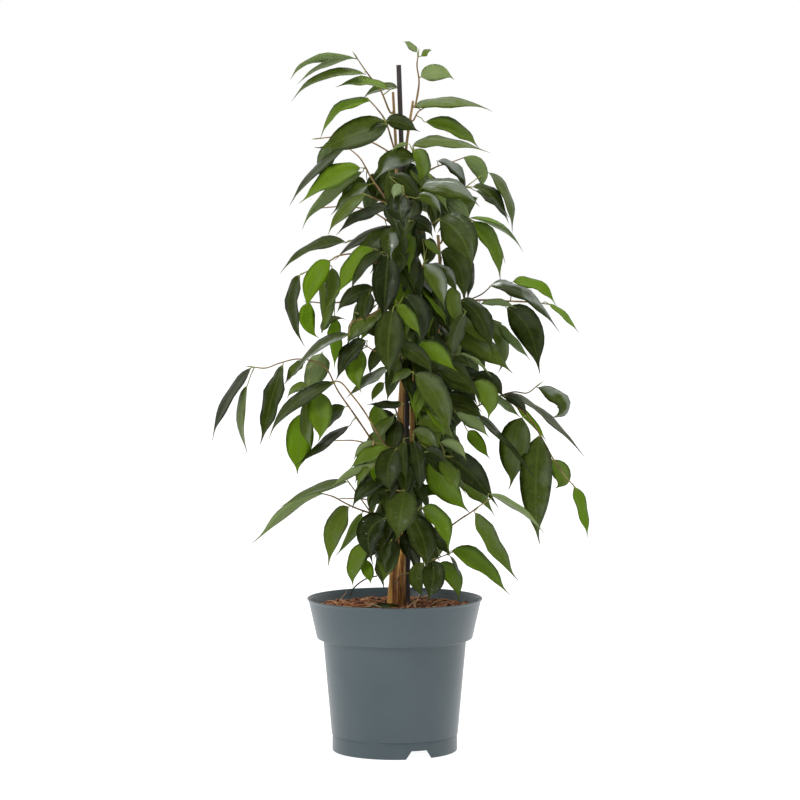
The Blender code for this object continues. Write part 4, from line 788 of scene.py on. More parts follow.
# The sprays: green-brown twigs that leave the stems and arch over, with leaves on thin stalks and a pointed
# sheathed bud at the end. Each row gives a stem, the row where the twig leaves it, the twig's points, side
# twigs, and the leaves as stalk end, middle and tip in the front view, width, look and depth.
SPRAYS = (
    ("left", 112, ((381, 91, -.014), (371, 78, -.020), (363, 67, -.024), (357, 58, -.026)), (), (
        (357, 57, 305, 57, 290, 80, 5, PALE), (342, 57, 315, 60, 291, 72, 4, PALE, -.012),
        (362, 74, 325, 71, 291, 100, 9, MID, -.034), (388, 89, 362, 74, 336, 88, 9, VIVID, -.030),
        (397, 87, 379, 83, 361, 100, 8, SHEEN, -.036))),
    ("left", 148, ((386, 122, -.034), (378, 110, -.042), (371, 102, -.046)), (), (
        (370, 101, 342, 102, 320, 139, 10, LIME), (388, 124, 350, 132, 318, 153, 27, MID),
        (385, 124, 375, 124, 368, 133, 5, DARK), (386, 121, 403, 119, 419, 133, 15, DARK, -.046))),
    ("left", 210, ((372, 179, .020), (366, 168, .028), (359, 157, .034), (346, 146, .040)), (), (
        (346, 146, 313, 165, 289, 206, 9, DARK), (360, 168, 325, 174, 301, 205, 20, VIVID, .020),
        (362, 172, 325, 192, 300, 228, 12, PALE, .030), (368, 185, 349, 193, 331, 216, 12, SHEEN, .010),
        (373, 174, 372, 192, 392, 205, 15, DARK, .014), (366, 184, 350, 178, 340, 200, 13, SHEEN, .034))),
    ("left", 224, ((390, 206, -.030), (378, 200, -.042), (367, 195, -.050)), (), (
        (365, 195, 344, 206, 327, 234, 12, MID), (394, 208, 362, 207, 336, 235, 11, DARK, -.034))),
    ("left", 238, ((392, 226, .012), (368, 234, .030), (350, 241, .044)), (), (
        (393, 227, 360, 234, 334, 261, 9, DARK, .006), (345, 242, 309, 240, 279, 273, 10, DARK, .046))),
    ("left", 270, (
        (378, 263, -.034), (358, 260, -.050), (352, 254, -.054), (338, 256, -.056), (331, 260, -.056),
        (318, 266, -.050), (304, 273, -.044)), (((378, 263, -.034), (388, 254, -.076)),), (
        (388, 255, 385, 287, 384, 321, 27, DARK, -.090),
        (330, 261, 309, 276, 307, 312, 20, LIME, -.060), (332, 268, 337, 290, 323, 315, 14, MID, -.044),
        (373, 249, 348, 261, 340, 296, 20, LIME, -.052), (383, 252, 357, 261, 351, 293, 10, DARK, -.062),
        (300, 275, 284, 302, 304, 348, 13, DARK, -.040))),
    ("left", 305, ((370, 300, .016), (345, 302, .030), (325, 303, .036), (312, 302, .038)), (), (
        (310, 303, 301, 320, 318, 340, 16, LIME), (322, 331, 327, 313, 347, 320, 8, MID, .026),
        (335, 318, 338, 340, 334, 368, 14, LIME, .034))),
    ("left", 492, (
        (388, 470, -.020), (374, 444, -.040), (354, 414, -.052), (338, 391, -.058), (324, 366, -.062),
        (300, 359, -.060), (280, 363, -.056), (266, 368, -.052), (253, 367, -.048)), (), (
        (251, 368, 228, 392, 212, 440, 10, DARK), (247, 386, 233, 418, 249, 455, 9, MID, -.060),
        (283, 365, 265, 394, 261, 445, 17, DARK, -.060), (322, 353, 318, 374, 302, 391, 22, PALE, -.040),
        (306, 386, 296, 383, 286, 399, 8, MID, -.058), (349, 426, 320, 438, 297, 459, 8, DARK, -.066),
        (345, 407, 326, 412, 320, 438, 14, SHEEN, -.050))),
    ("left", 474, (
        (390, 452, -.050), (379, 436, -.074), (364, 411, -.084), (351, 394, -.088), (340, 382, -.090),
        (328, 383, -.092), (319, 388, -.092)), (), (
        (319, 390, 293, 406, 267, 442, 12, DARK, -.098), (317, 392, 322, 416, 321, 442, 24, VIVID, -.086),
        (300, 415, 284, 446, 296, 476, 26, LIME, -.080))),
    ("left", 352, ((390, 352, -.048), (378, 352, -.064), (366, 346, -.070)), (), (
        (366, 341, 343, 350, 338, 382, 16, DARK, -.076), (362, 350, 349, 366, 361, 393, 21, VIVID, -.060),
        (388, 368, 366, 378, 346, 399, 9, SHEEN, -.064), (384, 383, 375, 389, 371, 403, 8, MID, -.052))),
    ("left", 316, ((388, 300, -.050), (378, 291, -.064)),
     (((388, 300, -.050), (374, 314, -.066), (362, 319, -.074), (352, 322, -.078), (349, 333, -.078)),), (
        (374, 289, 350, 290, 336, 313, 15, DARK, -.068), (370, 292, 362, 305, 365, 324, 16, DARK, -.090),
        (349, 335, 313, 337, 287, 386, 8, SHEEN, -.080), (377, 319, 358, 322, 346, 346, 15, MID, -.074))),
    ("right", 168, ((411, 158, -.030), (413, 150, -.046)), (), (
        (408, 144, 400, 144, 391, 151, 4, PALE, -.050), (413, 150, 432, 162, 416, 187, 15, MID, -.052),
        (416, 160, 384, 150, 378, 182, 19, SHEEN, -.066), (416, 166, 404, 172, 417, 197, 17, DARK, -.060),
        (413, 146, 437, 136, 490, 152, 11, MID, -.040))),
    ("right", 120, ((418, 112, .016), (424, 108, .024)), (), (
        (424, 105, 455, 98, 495, 110, 11, MID, .026), (416, 112, 462, 112, 479, 152, 15, VIVID, .016))),
    ("right", 106, ((418, 92, -.006), (419, 80, -.010), (417, 66, -.012), (418, 56, -.014)), (), (
        (417, 52, 411, 44, 403, 41, 6, PALE), (421, 56, 427, 51, 432, 50, 6, MID, -.016),
        (421, 77, 437, 67, 455, 79, 16, PALE, -.018))),
    ("right", 196, ((422, 176, .034), (436, 167, .044), (449, 163, .050), (463, 158, .054)), (), (
        (438, 161, 461, 165, 466, 194, 10, SHEEN, .040), (464, 158, 488, 166, 480, 191, 15, PALE, .054))),
    ("right", 208, ((420, 194, -.036), (445, 188, -.052), (468, 187, -.058)), (), (
        (422, 188, 454, 181, 480, 206, 18, SHEEN, -.060), (473, 187, 498, 187, 507, 219, 9, DARK),
        (489, 173, 513, 190, 512, 233, 10, MID, -.050), (476, 191, 497, 199, 510, 224, 8, SHEEN, -.066))),
    ("back", 242, ((448, 218, .044), (460, 216, .050), (469, 219, .054)), (), (
        (442, 210, 459, 200, 472, 223, 16, PALE, .040), (471, 223, 498, 238, 500, 282, 16, VIVID),
        (472, 218, 491, 216, 509, 230, 4, LIME, .060), (470, 218, 503, 219, 524, 252, 4, PALE, .068),
        (472, 221, 496, 231, 506, 264, 5, PALE, .046))),
    ("right", 246, ((424, 230, -.050), (436, 221, -.072)), (), (
        (440, 220, 466, 228, 474, 272, 32, DARK, -.078), (410, 221, 426, 219, 433, 238, 14, DARK, -.070))),
    ("back", 272, ((441, 260, -.004), (440, 253, -.020)), (), (
        (441, 252, 468, 258, 463, 305, 24, DARK, -.026), (450, 255, 480, 266, 464, 302, 14, DARK, -.008))),
    ("left", 246, ((402, 224, -.055), (405, 205, -.080), (404, 192, -.090)), (), (
        (403, 194, 396, 206, 404, 225, 24, DARK, -.098), (391, 177, 411, 180, 420, 209, 16, DARK, -.086),
        (402, 186, 396, 189, 393, 199, 11, PALE, -.100), (417, 198, 434, 194, 442, 216, 11, SHEEN, -.084),
        (397, 231, 383, 238, 392, 261, 18, SHEEN, -.074), (403, 226, 400, 246, 402, 268, 13, DARK, -.066),
        (407, 254, 399, 272, 408, 292, 14, DARK, -.050))),
    ("right", 296, ((419, 272, -.050), (425, 263, -.070)), (), (
        (424, 265, 442, 277, 443, 310, 18, SHEEN, -.080), (430, 265, 449, 272, 458, 294, 13, SHEEN, -.062),
        (430, 238, 430, 252, 424, 269, 15, DARK, -.052), (420, 262, 411, 280, 422, 302, 16, DARK, -.048),
        (436, 288, 440, 308, 449, 329, 20, DARK, -.040), (424, 240, 434, 246, 441, 258, 8, VIVID, -.060))),
    ("left", 330, ((400, 312, -.070), (397, 303, -.094)), (), (
        (393, 309, 386, 342, 389, 378, 27, DARK, -.108), (397, 305, 409, 316, 422, 337, 14, VIVID, -.100),
        (405, 296, 424, 312, 420, 350, 25, DARK, -.084))),
    ("right", 364, ((413, 348, -.056), (410, 341, -.080)), (), (
        (399, 346, 419, 350, 435, 376, 16, DARK, -.098), (415, 347, 439, 346, 456, 374, 18, VIVID, -.086),
        (424, 362, 452, 362, 480, 394, 18, DARK, -.064))),
    ("right", 398, ((413, 382, -.050), (413, 374, -.070)), (), (
        (415, 374, 445, 392, 449, 439, 24, MID, -.084), (412, 372, 401, 371, 390, 386, 9, MID, -.090),
        (412, 398, 426, 402, 434, 421, 11, MID, -.040), (418, 424, 436, 416, 457, 441, 17, MID, -.046))),
    ("left", 418, ((392, 404, -.050), (380, 403, -.066)), (), (
        (402, 404, 385, 405, 366, 404, 7, DARK, -.084), (376, 404, 381, 432, 400, 459, 20, VIVID, -.072))),
    ("left", 464, ((396, 450, -.062), (388, 447, -.080)), (), (
        (388, 450, 368, 451, 349, 469, 14, VIVID, -.096), (376, 443, 362, 446, 353, 460, 10, PALE, -.078),
        (380, 464, 352, 468, 331, 488, 9, PALE, -.088), (370, 469, 360, 471, 357, 489, 7, MID, -.082),
        (377, 464, 374, 472, 374, 482, 9, LIME, -.066))),
    ("left", 534, ((382, 522, -.040), (373, 515, -.054), (361, 499, -.064), (350, 484, -.070)), (), (
        (347, 482, 316, 485, 279, 508, 7, MID), (386, 518, 358, 526, 374, 564, 25, DARK, -.078))),
    ("left", 514, (
        (378, 515, -.016), (361, 510, -.030), (347, 504, -.038), (334, 497, -.044), (324, 494, -.046)),
     (), (
        (322, 494, 293, 498, 253, 546, 11, PALE), (350, 505, 329, 522, 330, 567, 19, MID, -.034),
        (362, 513, 357, 532, 335, 557, 9, VIVID, -.020))),
    ("left", 502, ((392, 490, -.054), (386, 480, -.072)), (((392, 490, -.054), (403, 491, -.084)),), (
        (404, 491, 402, 514, 396, 541, 30, DARK, -.094),
        (386, 480, 364, 482, 351, 509, 14, DARK), (388, 490, 374, 493, 368, 514, 11, DARK, -.066),
        (396, 449, 382, 470, 391, 494, 25, DARK, -.088))),
    ("right", 456, ((413, 444, -.040), (413, 437, -.056)), (), (
        (413, 440, 423, 464, 419, 494, 15, DARK, -.072), (404, 440, 402, 460, 407, 481, 13, DARK, -.076),
        (414, 431, 430, 434, 438, 451, 17, MID, -.060), (426, 448, 434, 460, 447, 480, 12, DARK, -.050))),
    ("right", 478, ((424, 464, -.016), (436, 456, -.030), (446, 456, -.034)), (), (
        (431, 459, 440, 487, 470, 512, 26, VIVID, -.050), (441, 442, 458, 443, 467, 461, 11, PALE, -.046),
        (446, 456, 470, 464, 498, 508, 24, DARK, -.032), (426, 452, 437, 450, 446, 464, 13, DARK, -.058))),
    ("back", 500, ((424, 494, .030), (440, 486, .024), (456, 482, .020)), (), (
        (456, 480, 480, 488, 495, 517, 12, MID), (416, 495, 431, 483, 452, 499, 10, VIVID, .012))),
    ("right", 545, (
        (418, 541, .016), (434, 535, .004), (449, 527, -.012), (462, 518, -.026), (470, 513, -.034),
        (478, 507, -.040), (487, 501, -.044)), (), (
        (475, 513, 489, 540, 517, 583, 15, MID, -.060), (490, 494, 521, 503, 546, 535, 8, PALE, -.062))),
    ("left", 536, ((401, 529, -.036), (414, 516, -.056), (418, 510, -.062)), (), (
        (422, 508, 447, 516, 449, 553, 17, VIVID, -.080), (411, 516, 429, 540, 427, 569, 26, DARK, -.066))),
    ("left", 580, ((402, 575, -.034), (420, 570, -.042), (434, 560, -.052), (448, 554, -.056)), (), (
        (452, 551, 488, 553, 508, 597, 16, VIVID), (434, 541, 445, 543, 450, 557, 9, DARK, -.050),
        (437, 566, 458, 568, 459, 602, 16, VIVID, -.036), (450, 556, 458, 567, 461, 582, 3, DARK, -.060),
        (432, 561, 437, 581, 427, 601, 22, DARK, -.078), (424, 563, 409, 577, 424, 598, 16, DARK, -.066),
        (408, 531, 402, 545, 410, 561, 12, DARK, -.034))),
    ("left", 566, ((388, 547, -.040), (374, 544, -.054)), (), (
        (368, 543, 350, 562, 353, 587, 16, VIVID), (364, 560, 369, 572, 371, 584, 12, LIME, -.046),
        (391, 541, 375, 560, 386, 592, 13, DARK, -.064))),
    ("back", 328, ((455, 312, .020), (468, 301, .012), (482, 294, .008), (491, 286, .006)),
     (((468, 301, .012), (484, 300, .026), (506, 301, .036), (528, 302, .042), (547, 304, .046)),), (
        (491, 286, 526, 280, 560, 334, 12, SHEEN, -.002), (513, 282, 542, 278, 556, 306, 11, LIME, .030),
        (549, 304, 567, 314, 579, 334, 6, LIME), (481, 304, 500, 298, 517, 309, 7, PALE, .018),
        (508, 308, 543, 318, 538, 374, 29, DARK, .044))),
    ("back", 350, ((456, 334, .050), (472, 322, .060), (486, 318, .066), (496, 321, .070)), (), (
        (487, 319, 510, 340, 500, 374, 14, MID), (499, 324, 510, 341, 532, 360, 9, PALE, .078))),
    ("back", 316, ((450, 316, -.004), (457, 303, -.020)), (), (
        (461, 300, 487, 312, 492, 355, 20, DARK, -.034), (453, 333, 484, 341, 512, 374, 22, MID, -.022),
        (448, 313, 456, 322, 462, 335, 12, MID, -.040), (452, 287, 452, 305, 462, 332, 15, MID, -.030),
        (447, 318, 474, 318, 494, 349, 17, MID, -.020))),
    ("right", 388, ((428, 368, -.034), (444, 358, -.050)), (), (
        (453, 361, 462, 356, 471, 367, 7, DARK), (459, 354, 477, 357, 492, 378, 4, PALE, -.040),
        (471, 378, 496, 376, 503, 399, 17, DARK, -.034), (474, 382, 497, 394, 487, 420, 20, VIVID, -.050),
        (440, 372, 461, 376, 481, 398, 20, DARK, -.062),
        (446, 374, 470, 368, 498, 398, 15, DARK, -.030), (438, 402, 460, 392, 483, 412, 14, DARK, -.040))),
    ("back", 424, ((446, 408, -.006), (456, 406, -.018)), (), (
        (448, 400, 466, 402, 485, 420, 15, DARK, -.030), (456, 413, 474, 418, 489, 438, 14, PALE, -.016),
        (468, 431, 477, 440, 490, 460, 13, LIME, -.004), (476, 415, 500, 430, 541, 487, 6, DARK, -.026))),
    ("back", 440, ((446, 424, .050), (470, 410, .058), (495, 398, .062), (513, 392, .064), (527, 393, .066),
                   (537, 386, .068)),
     (((495, 398, .062), (510, 402, .050), (524, 412, .044), (536, 428, .040), (545, 444, .038),
       (554, 460, .036), (566, 477, .034), (573, 485, .034)),), (
        (538, 385, 585, 386, 552, 418, 14, SHEEN), (512, 393, 547, 412, 586, 458, 6, DARK, .076),
        (503, 396, 521, 396, 527, 416, 9, DARK, .058), (494, 396, 508, 407, 521, 418, 8, PALE, .046),
        (515, 405, 532, 420, 547, 442, 7, LIME, .030), (520, 418, 499, 446, 514, 491, 30, MID, .048),
        (539, 436, 533, 486, 538, 544, 31, MID, .032), (553, 458, 577, 468, 556, 486, 18, VIVID, .040),
        (574, 487, 577, 510, 588, 538, 12, LIME))),
)
# The areas of the front view where leaves hang thick behind the ones listed.
DENSE = (
    ((372, 160), (418, 162), (425, 180), (478, 185), (482, 200), (465, 205), (465, 220), (440, 240),
     (425, 232), (420, 222), (412, 240), (402, 245), (380, 232), (395, 215), (350, 212), (335, 205),
     (345, 190), (370, 180)),
    ((374, 258), (400, 255), (412, 262), (430, 265), (445, 300), (470, 300), (488, 330), (490, 350),
     (460, 350), (440, 335), (425, 340), (412, 345), (400, 345), (398, 372), (385, 372), (380, 345),
     (350, 345), (345, 335), (360, 300)),
    ((402, 345), (440, 340), (455, 365), (480, 385), (500, 390), (490, 415), (470, 418), (448, 440),
     (430, 440), (414, 430), (412, 412), (412, 385), (402, 372)),
    ((372, 408), (396, 408), (398, 425), (402, 440), (425, 440), (425, 490), (412, 495), (404, 490),
     (392, 492), (366, 500), (350, 505), (360, 490), (345, 470), (355, 455), (375, 445)),
    ((430, 445), (465, 455), (478, 490), (470, 505), (440, 492), (425, 478)),
    ((362, 520), (384, 515), (388, 492), (412, 492), (412, 515), (425, 512), (447, 520), (450, 545),
     (440, 560), (430, 600), (415, 585), (412, 560), (404, 560), (404, 535), (392, 535), (392, 548),
     (384, 590), (376, 560), (365, 560)),
)
THICKET_SEED = 11
THICKET_TRIES = 1500
THICKET_DEPTH = (-0.055, 0.075)
THICKET_LEAF = (0.045, 0.068)
THICKET_REACH = 0.055
THICKET_SWING = (-1.0, 1.0)
THICKET_BULGE, THICKET_RISE = 0.12, 0.06
THICKET_SHOWS = (0.6, 1.0)
BACK_SEED = 3700
BACK_SPRAYS = 8
BACK_TRIES = 90
BACK_LEAVES = 4
BACK_TWIG = (0.080, 0.140)
BACK_TURN = (math.radians(30), math.radians(150))
BACK_TOP_ROW, BACK_FOOT_ROW = 150, 560
BACK_STEMS = ("back", "right", "left")
BACK_STEM_TOP_ROW = 250
BACK_START_DEPTH = 0.015
BACK_STEPS = (0.4, 0.7, 1.0)
BACK_RISE, BACK_DROOP = 0.55, 0.35
BACK_LEAF_TRIES = 16
BACK_LEAF = (0.058, 0.078)
BACK_SWING = (-1.2, 1.2)
BACK_HANG = (0.65, 0.95)
BACK_STALK = (0.008, 0.014)
BACK_SHOWS = (0.45, 0.95)
# Listed leaves that hang a little otherwise than their row says, by their stalk end.
BENDS = {
    (342, 57): (348, 59, 318, 62, 297, 85),
    (357, 57): (358, 57, 305, 51, 290, 80), (362, 74): (364, 74, 320, 63, 291, 101),
    (370, 101): (370, 101, 334, 98, 320, 139), (424, 105): (414, 107, 446, 95, 493, 110),
    (416, 112): (426, 122, 462, 124, 478, 149), (251, 368): (251, 368, 224, 396, 211, 440),
    (283, 365): (283, 365, 269, 397, 262, 445), (319, 390): (334, 383, 290, 394, 267, 438),
    (300, 415): (303, 413, 298, 446, 297, 474), (508, 308): (507, 308, 537, 322, 538, 374),
    (538, 385): (538, 386, 582, 405, 551, 420), (520, 418): (522, 418, 509, 448, 514, 489),
    (553, 458): (551, 460, 572, 478, 555, 489), (574, 487): (574, 487, 584, 508, 588, 538),
    (475, 513): (475, 513, 492, 540, 517, 583), (452, 551): (452, 551, 484, 557, 508, 597),
    (349, 426): (349, 426, 322, 444, 296, 466)}
# Single leaves that hang from whichever twig is nearest, and then the seeded ones that fill the thick.
ADDED = (
    (322, 283, 333, 304, 322, 334, 15, MID, -.022), (348, 300, 338, 308, 330, 330, 11, DARK, -.034),
    (399, 357, 392, 378, 387, 402, 15, DARK, -.058), (382, 347, 374, 356, 368, 376, 12, DARK, -.060),
    (304, 363, 292, 366, 285, 386, 9, MID, -.056), (307, 402, 304, 424, 311, 450, 12, MID, -.082),
    (417, 224, 421, 240, 416, 263, 13, DARK, -.040), (408, 383, 416, 396, 411, 414, 10, HIDDEN, .010),
    (411, 538, 419, 552, 412, 572, 11, HIDDEN, .012), (396, 446, 404, 460, 399, 480, 12, HIDDEN, .008))
FILL_SEED = 31
FILL_TRIES = 420
FILL_DEPTH = (0.006, 0.080)
FILL_REACH = 0.040
FILL_LOOKS = (HIDDEN, HIDDEN, DARK, MID)
TURNED_SEED = 47
TURNED_TRIES = 26
TURNED_LEAF = (0.055, 0.075)
TURNED_START = (0.2, 0.8)
TURNED_SWING = (-1.3, 1.3)
TURNED_HANG = (0.60, 0.95)
TURNED_STALK = (0.006, 0.014)
TURNED_LOOKS = (DARK, DARK, HIDDEN, MID, VIVID)
TURNED_FRONT, TURNED_BACK = -0.035, 0.128
BEHIND = 0.03
TWIG_RADIUS = 0.0015
SHIFT_STEP = 0.005
SHIFTS = 25
MISS = 0.0002
TWIG_GAP, TWIG_STEP = 0.0004, 0.004
TWIG_SINK = 0.0015
TWIG_FOOT, TWIG_TIP = 0.0013, 0.0007
BUD_LENGTH = 0.010
BUD = ((-0.05, 0.0007), (0.15, 0.0010), (0.45, 0.0008), (0.75, 0.0005), (1.0, 0.0001))
KNOB_SHARE, KNOBS_OFTEN = 0.35, 130
STALK_FOOT, STALK_MIDDLE, STALK_END = 0.0008, 0.0006, 0.0004
STALK_ARCH, STALK_SHORT, STALK_INTO = 0.06, 0.002, 0.004
SHADE_SPREAD = 0.08


def twig_root(stem, row, towards):
    """Where a twig starts, just off the stem's bark, and a first point straight out from it."""
    foot, top, _ = STEMS[stem]
    line = stem_line(stem)
    radii = spaced_radii(foot, top, len(line))
    height = at(VIEW_MIDDLE, row, 0).z
    for (a, b), radius in zip(zip(line, line[1:]), radii):
        if a.z <= height <= b.z:
            middle = a + (b - a) * ((height - a.z) / (b.z - a.z))
            out = (towards - middle).to_2d().normalized().to_3d()
            return [middle + out * (radius + TWIG_GAP), middle + out * (radius + TWIG_STEP)]
    raise ValueError(f"no {stem} stem at row {row}")


def corner_tree(node):
    """The corners of a spray's solid, to find each leaf where it stands there."""
    points = frame["nodes"][node].data.vertices
    tree = KDTree(len(points))
    for k, point in enumerate(points):
        tree.insert(point.co, k)
    tree.balance()
    return tree


def settled(row, depth, twigs, tree):
    """The depth at which the solid has this leaf, as it slid there along the line of sight, or None."""
    best, found = MISS, None
    for k in range(-SHIFTS, SHIFTS + 1):
        _, spine, face, width = grown_leaf(row, depth + k * SHIFT_STEP, twigs)
        point, across, out = leaf_frame(spine, face, 1)
        half = max(width * 0.05, STALK_WIDTH) / 2
        miss = max(tree.find(point + across * (half * p) + out * (BLADE / 2 * q))[2]
                   for p in (-1, 1) for q in (-1, 1))
        if miss < best:
            best, found = miss, depth + k * SHIFT_STEP
    return found


def thicket_row(draw):
    """A dark leaf that hangs somewhere in the thick of the plant, as it shows from the front."""
    edge = draw.choice(DENSE)
    x = draw.uniform(min(p[0] for p in edge), max(p[0] for p in edge))
    y = draw.uniform(min(p[1] for p in edge), max(p[1] for p in edge))
    length = draw.uniform(*THICKET_LEAF) / METRES_PER_POINT
    swing = draw.uniform(*THICKET_SWING)
    tip_x, tip_y = x + length * math.sin(swing), y + length * math.cos(swing)
    mid_x = (x + tip_x) / 2 + THICKET_BULGE * length * math.copysign(1, swing)
    mid_y = (y + tip_y) / 2 - THICKET_RISE * length
    width = LEAF_SHARE * length * draw.uniform(*THICKET_SHOWS)
    return x, y, mid_x, mid_y, tip_x, tip_y, width, HIDDEN


def nearest_spray(twigs, leaf, depth):
    """How far a leaf's base is from the nearest twig, and whose twig that is."""
    base = at(leaf[0], leaf[1], depth)
    return min(((stalk_root(twigs[spray], base) - base).length, spray) for spray in twigs)


def enclosed(x, y):
    """Whether a place in the front view lies in one of the dense areas."""
    for edge in DENSE:
        crossings = sum(
            (a[1] > y) != (b[1] > y) and x < a[0] + (y - a[1]) * (b[0] - a[0]) / (b[1] - a[1])
            for a, b in zip(edge, (*edge[1:], edge[0])))
        if crossings % 2:
            return True
    return False


def turned_leaf(draw, lines):
    """A leaf that hangs out to any side from a spray's twig: its stalk root, spine, face and width."""
    a, b = draw.choice([pair for line in lines for pair in zip(line, line[1:])])
    root = a + (b - a) * draw.uniform(*TURNED_START)
    length, drop = draw.uniform(*TURNED_LEAF), draw.uniform(*TURNED_HANG)
    turn = math.atan2(root.y, root.x) + draw.uniform(*TURNED_SWING)
    outward, reach = Vector((math.cos(turn), math.sin(turn), 0)), math.sqrt(1 - drop ** 2)
    base = root + (outward - Vector((0, 0, 0.4))) * draw.uniform(*TURNED_STALK)
    tip = base + (outward * reach - Vector((0, 0, drop))) * length
    handle = (base + tip) / 2 + (outward + Vector((0, 0, 0.6))) * (0.13 * length)
    return root, (base, handle, tip), outward * drop + Vector((0, 0, reach)), LEAF_SHARE * length


def back_row(draw, root, turn):
    """A leaf that hangs from a point of a back twig, as it shows from the front."""
    length = draw.uniform(*BACK_LEAF)
    away = turn + draw.uniform(*BACK_SWING)
    drop = draw.uniform(*BACK_HANG)
    flat = math.sqrt(1 - drop ** 2)
    base = root + Vector((math.cos(away), math.sin(away), -0.3)) * draw.uniform(*BACK_STALK)
    tip = base + Vector((math.cos(away) * flat, 0, -drop)) * length
    middle = (base + tip) / 2 + Vector((math.cos(away), 0, 0.4)) * (0.12 * length)
    places = [value for point in (base, middle, tip) for value in shown(point)]
    width = LEAF_SHARE * length / METRES_PER_POINT * draw.uniform(*BACK_SHOWS)
    return (*places, width, HIDDEN), base.y


def back_line(draw, attempt, made):
    """The line of a twig that grows out of the back of a stem, and the way it turns."""
    stem = BACK_STEMS[attempt % len(BACK_STEMS)]
    share = (made + draw.uniform(0.1, 0.9)) / BACK_SPRAYS
    row = BACK_FOOT_ROW + (BACK_TOP_ROW - BACK_FOOT_ROW) * share
    if stem == "back" and row < BACK_STEM_TOP_ROW:
        stem = "right"
    turn = draw.uniform(*BACK_TURN)
    reach = draw.uniform(*BACK_TWIG)
    below = [point for point in STEMS[stem][2] if point[1] >= row][-1]
    start = at(below[0], row, BACK_START_DEPTH)
    out = Vector((math.cos(turn), math.sin(turn), 0))
    line = [start + out * (reach * k) + Vector((0, 0, reach * (BACK_RISE * k - BACK_DROOP * k * k)))
            for k in BACK_STEPS]
    return [*twig_root(stem, row, line[0]), *line], turn


# Listed, thicket and back leaves are looked for in their spray's solid and hang at the depth found there;
# the added, filling and turned leaves that follow are not looked for.
twigs, leaves, trees = {}, {}, {}
for k, (stem, row, main, sides, rows) in enumerate(SPRAYS):
    name = f"spray_{k + 1:02d}"
    points = [at(*point) for point in main]
    twigs[name] = [[*twig_root(stem, row, points[0]), *points]]
    twigs[name] += [[at(*point) for point in side] for side in sides]
    trees[name] = corner_tree(name)
    leaves[name] = []
    for leaf in rows:
        depth = settled(leaf, leaf[8] if len(leaf) > 8 else main[-1][2], twigs[name], trees[name])
        if depth is not None:
            leaves[name].append((leaf, depth))
draw = random.Random(THICKET_SEED)
for _ in range(THICKET_TRIES):
    leaf, depth = thicket_row(draw), draw.uniform(*THICKET_DEPTH)
    away, name = nearest_spray(twigs, leaf, depth)
    if away <= THICKET_REACH:
        depth = settled(leaf, depth, twigs[name], trees[name])
        if depth is not None:
            leaves[name].append((leaf, depth))
made = 0
for attempt in range(BACK_TRIES):
    if made == BACK_SPRAYS:
        break
    name = f"spray_{len(SPRAYS) + 1 + made:02d}"
    tree = corner_tree(name)
    draw = random.Random(BACK_SEED + attempt)
    line, turn = back_line(draw, attempt, made)
    if abs(tree.find(line[0])[2] - TWIG_RADIUS) > MISS:
        continue
    found = []
    for k in range(BACK_LEAF_TRIES):
        if len(found) < BACK_LEAVES:
            leaf, depth = back_row(draw, line[1 + k % (len(line) - 1)], turn)
            depth = settled(leaf, depth, [line], tree)
            if depth is not None:
                found.append((leaf, depth))
    if len(found) >= BACK_LEAVES - 1:
        twigs[name], leaves[name] = [line], found
        made += 1
for found in leaves.values():
    for k, (leaf, depth) in enumerate(found):
        found[k] = (*BENDS.get(leaf[:2], leaf[:6]), *leaf[6:8]), depth
draw = random.Random(FILL_SEED)
extra = [(leaf[:8], leaf[8]) for leaf in ADDED]
for _ in range(FILL_TRIES):
    leaf, depth = thicket_row(draw), draw.uniform(*FILL_DEPTH)
    look = draw.choice(FILL_LOOKS)
    if all(enclosed(*leaf[k:k + 2]) for k in (0, 2, 4)):
        extra.append(((*leaf[:7], look), depth))
for leaf, depth in extra:
    away, name = nearest_spray(twigs, leaf, depth)
    if away <= FILL_REACH:
        leaves[name].append((leaf, depth))
draw = random.Random(TURNED_SEED)
turned_leaves = {name: [] for name in twigs}
for name, lines in twigs.items():
    for _ in range(TURNED_TRIES):
        grown, look = turned_leaf(draw, lines), draw.choice(TURNED_LOOKS)
        if grown[0].y > TURNED_FRONT and all(
                point.y < TURNED_BACK and enclosed(*shown(point)) for point in grown[1]):
            turned_leaves[name].append((*grown, look))

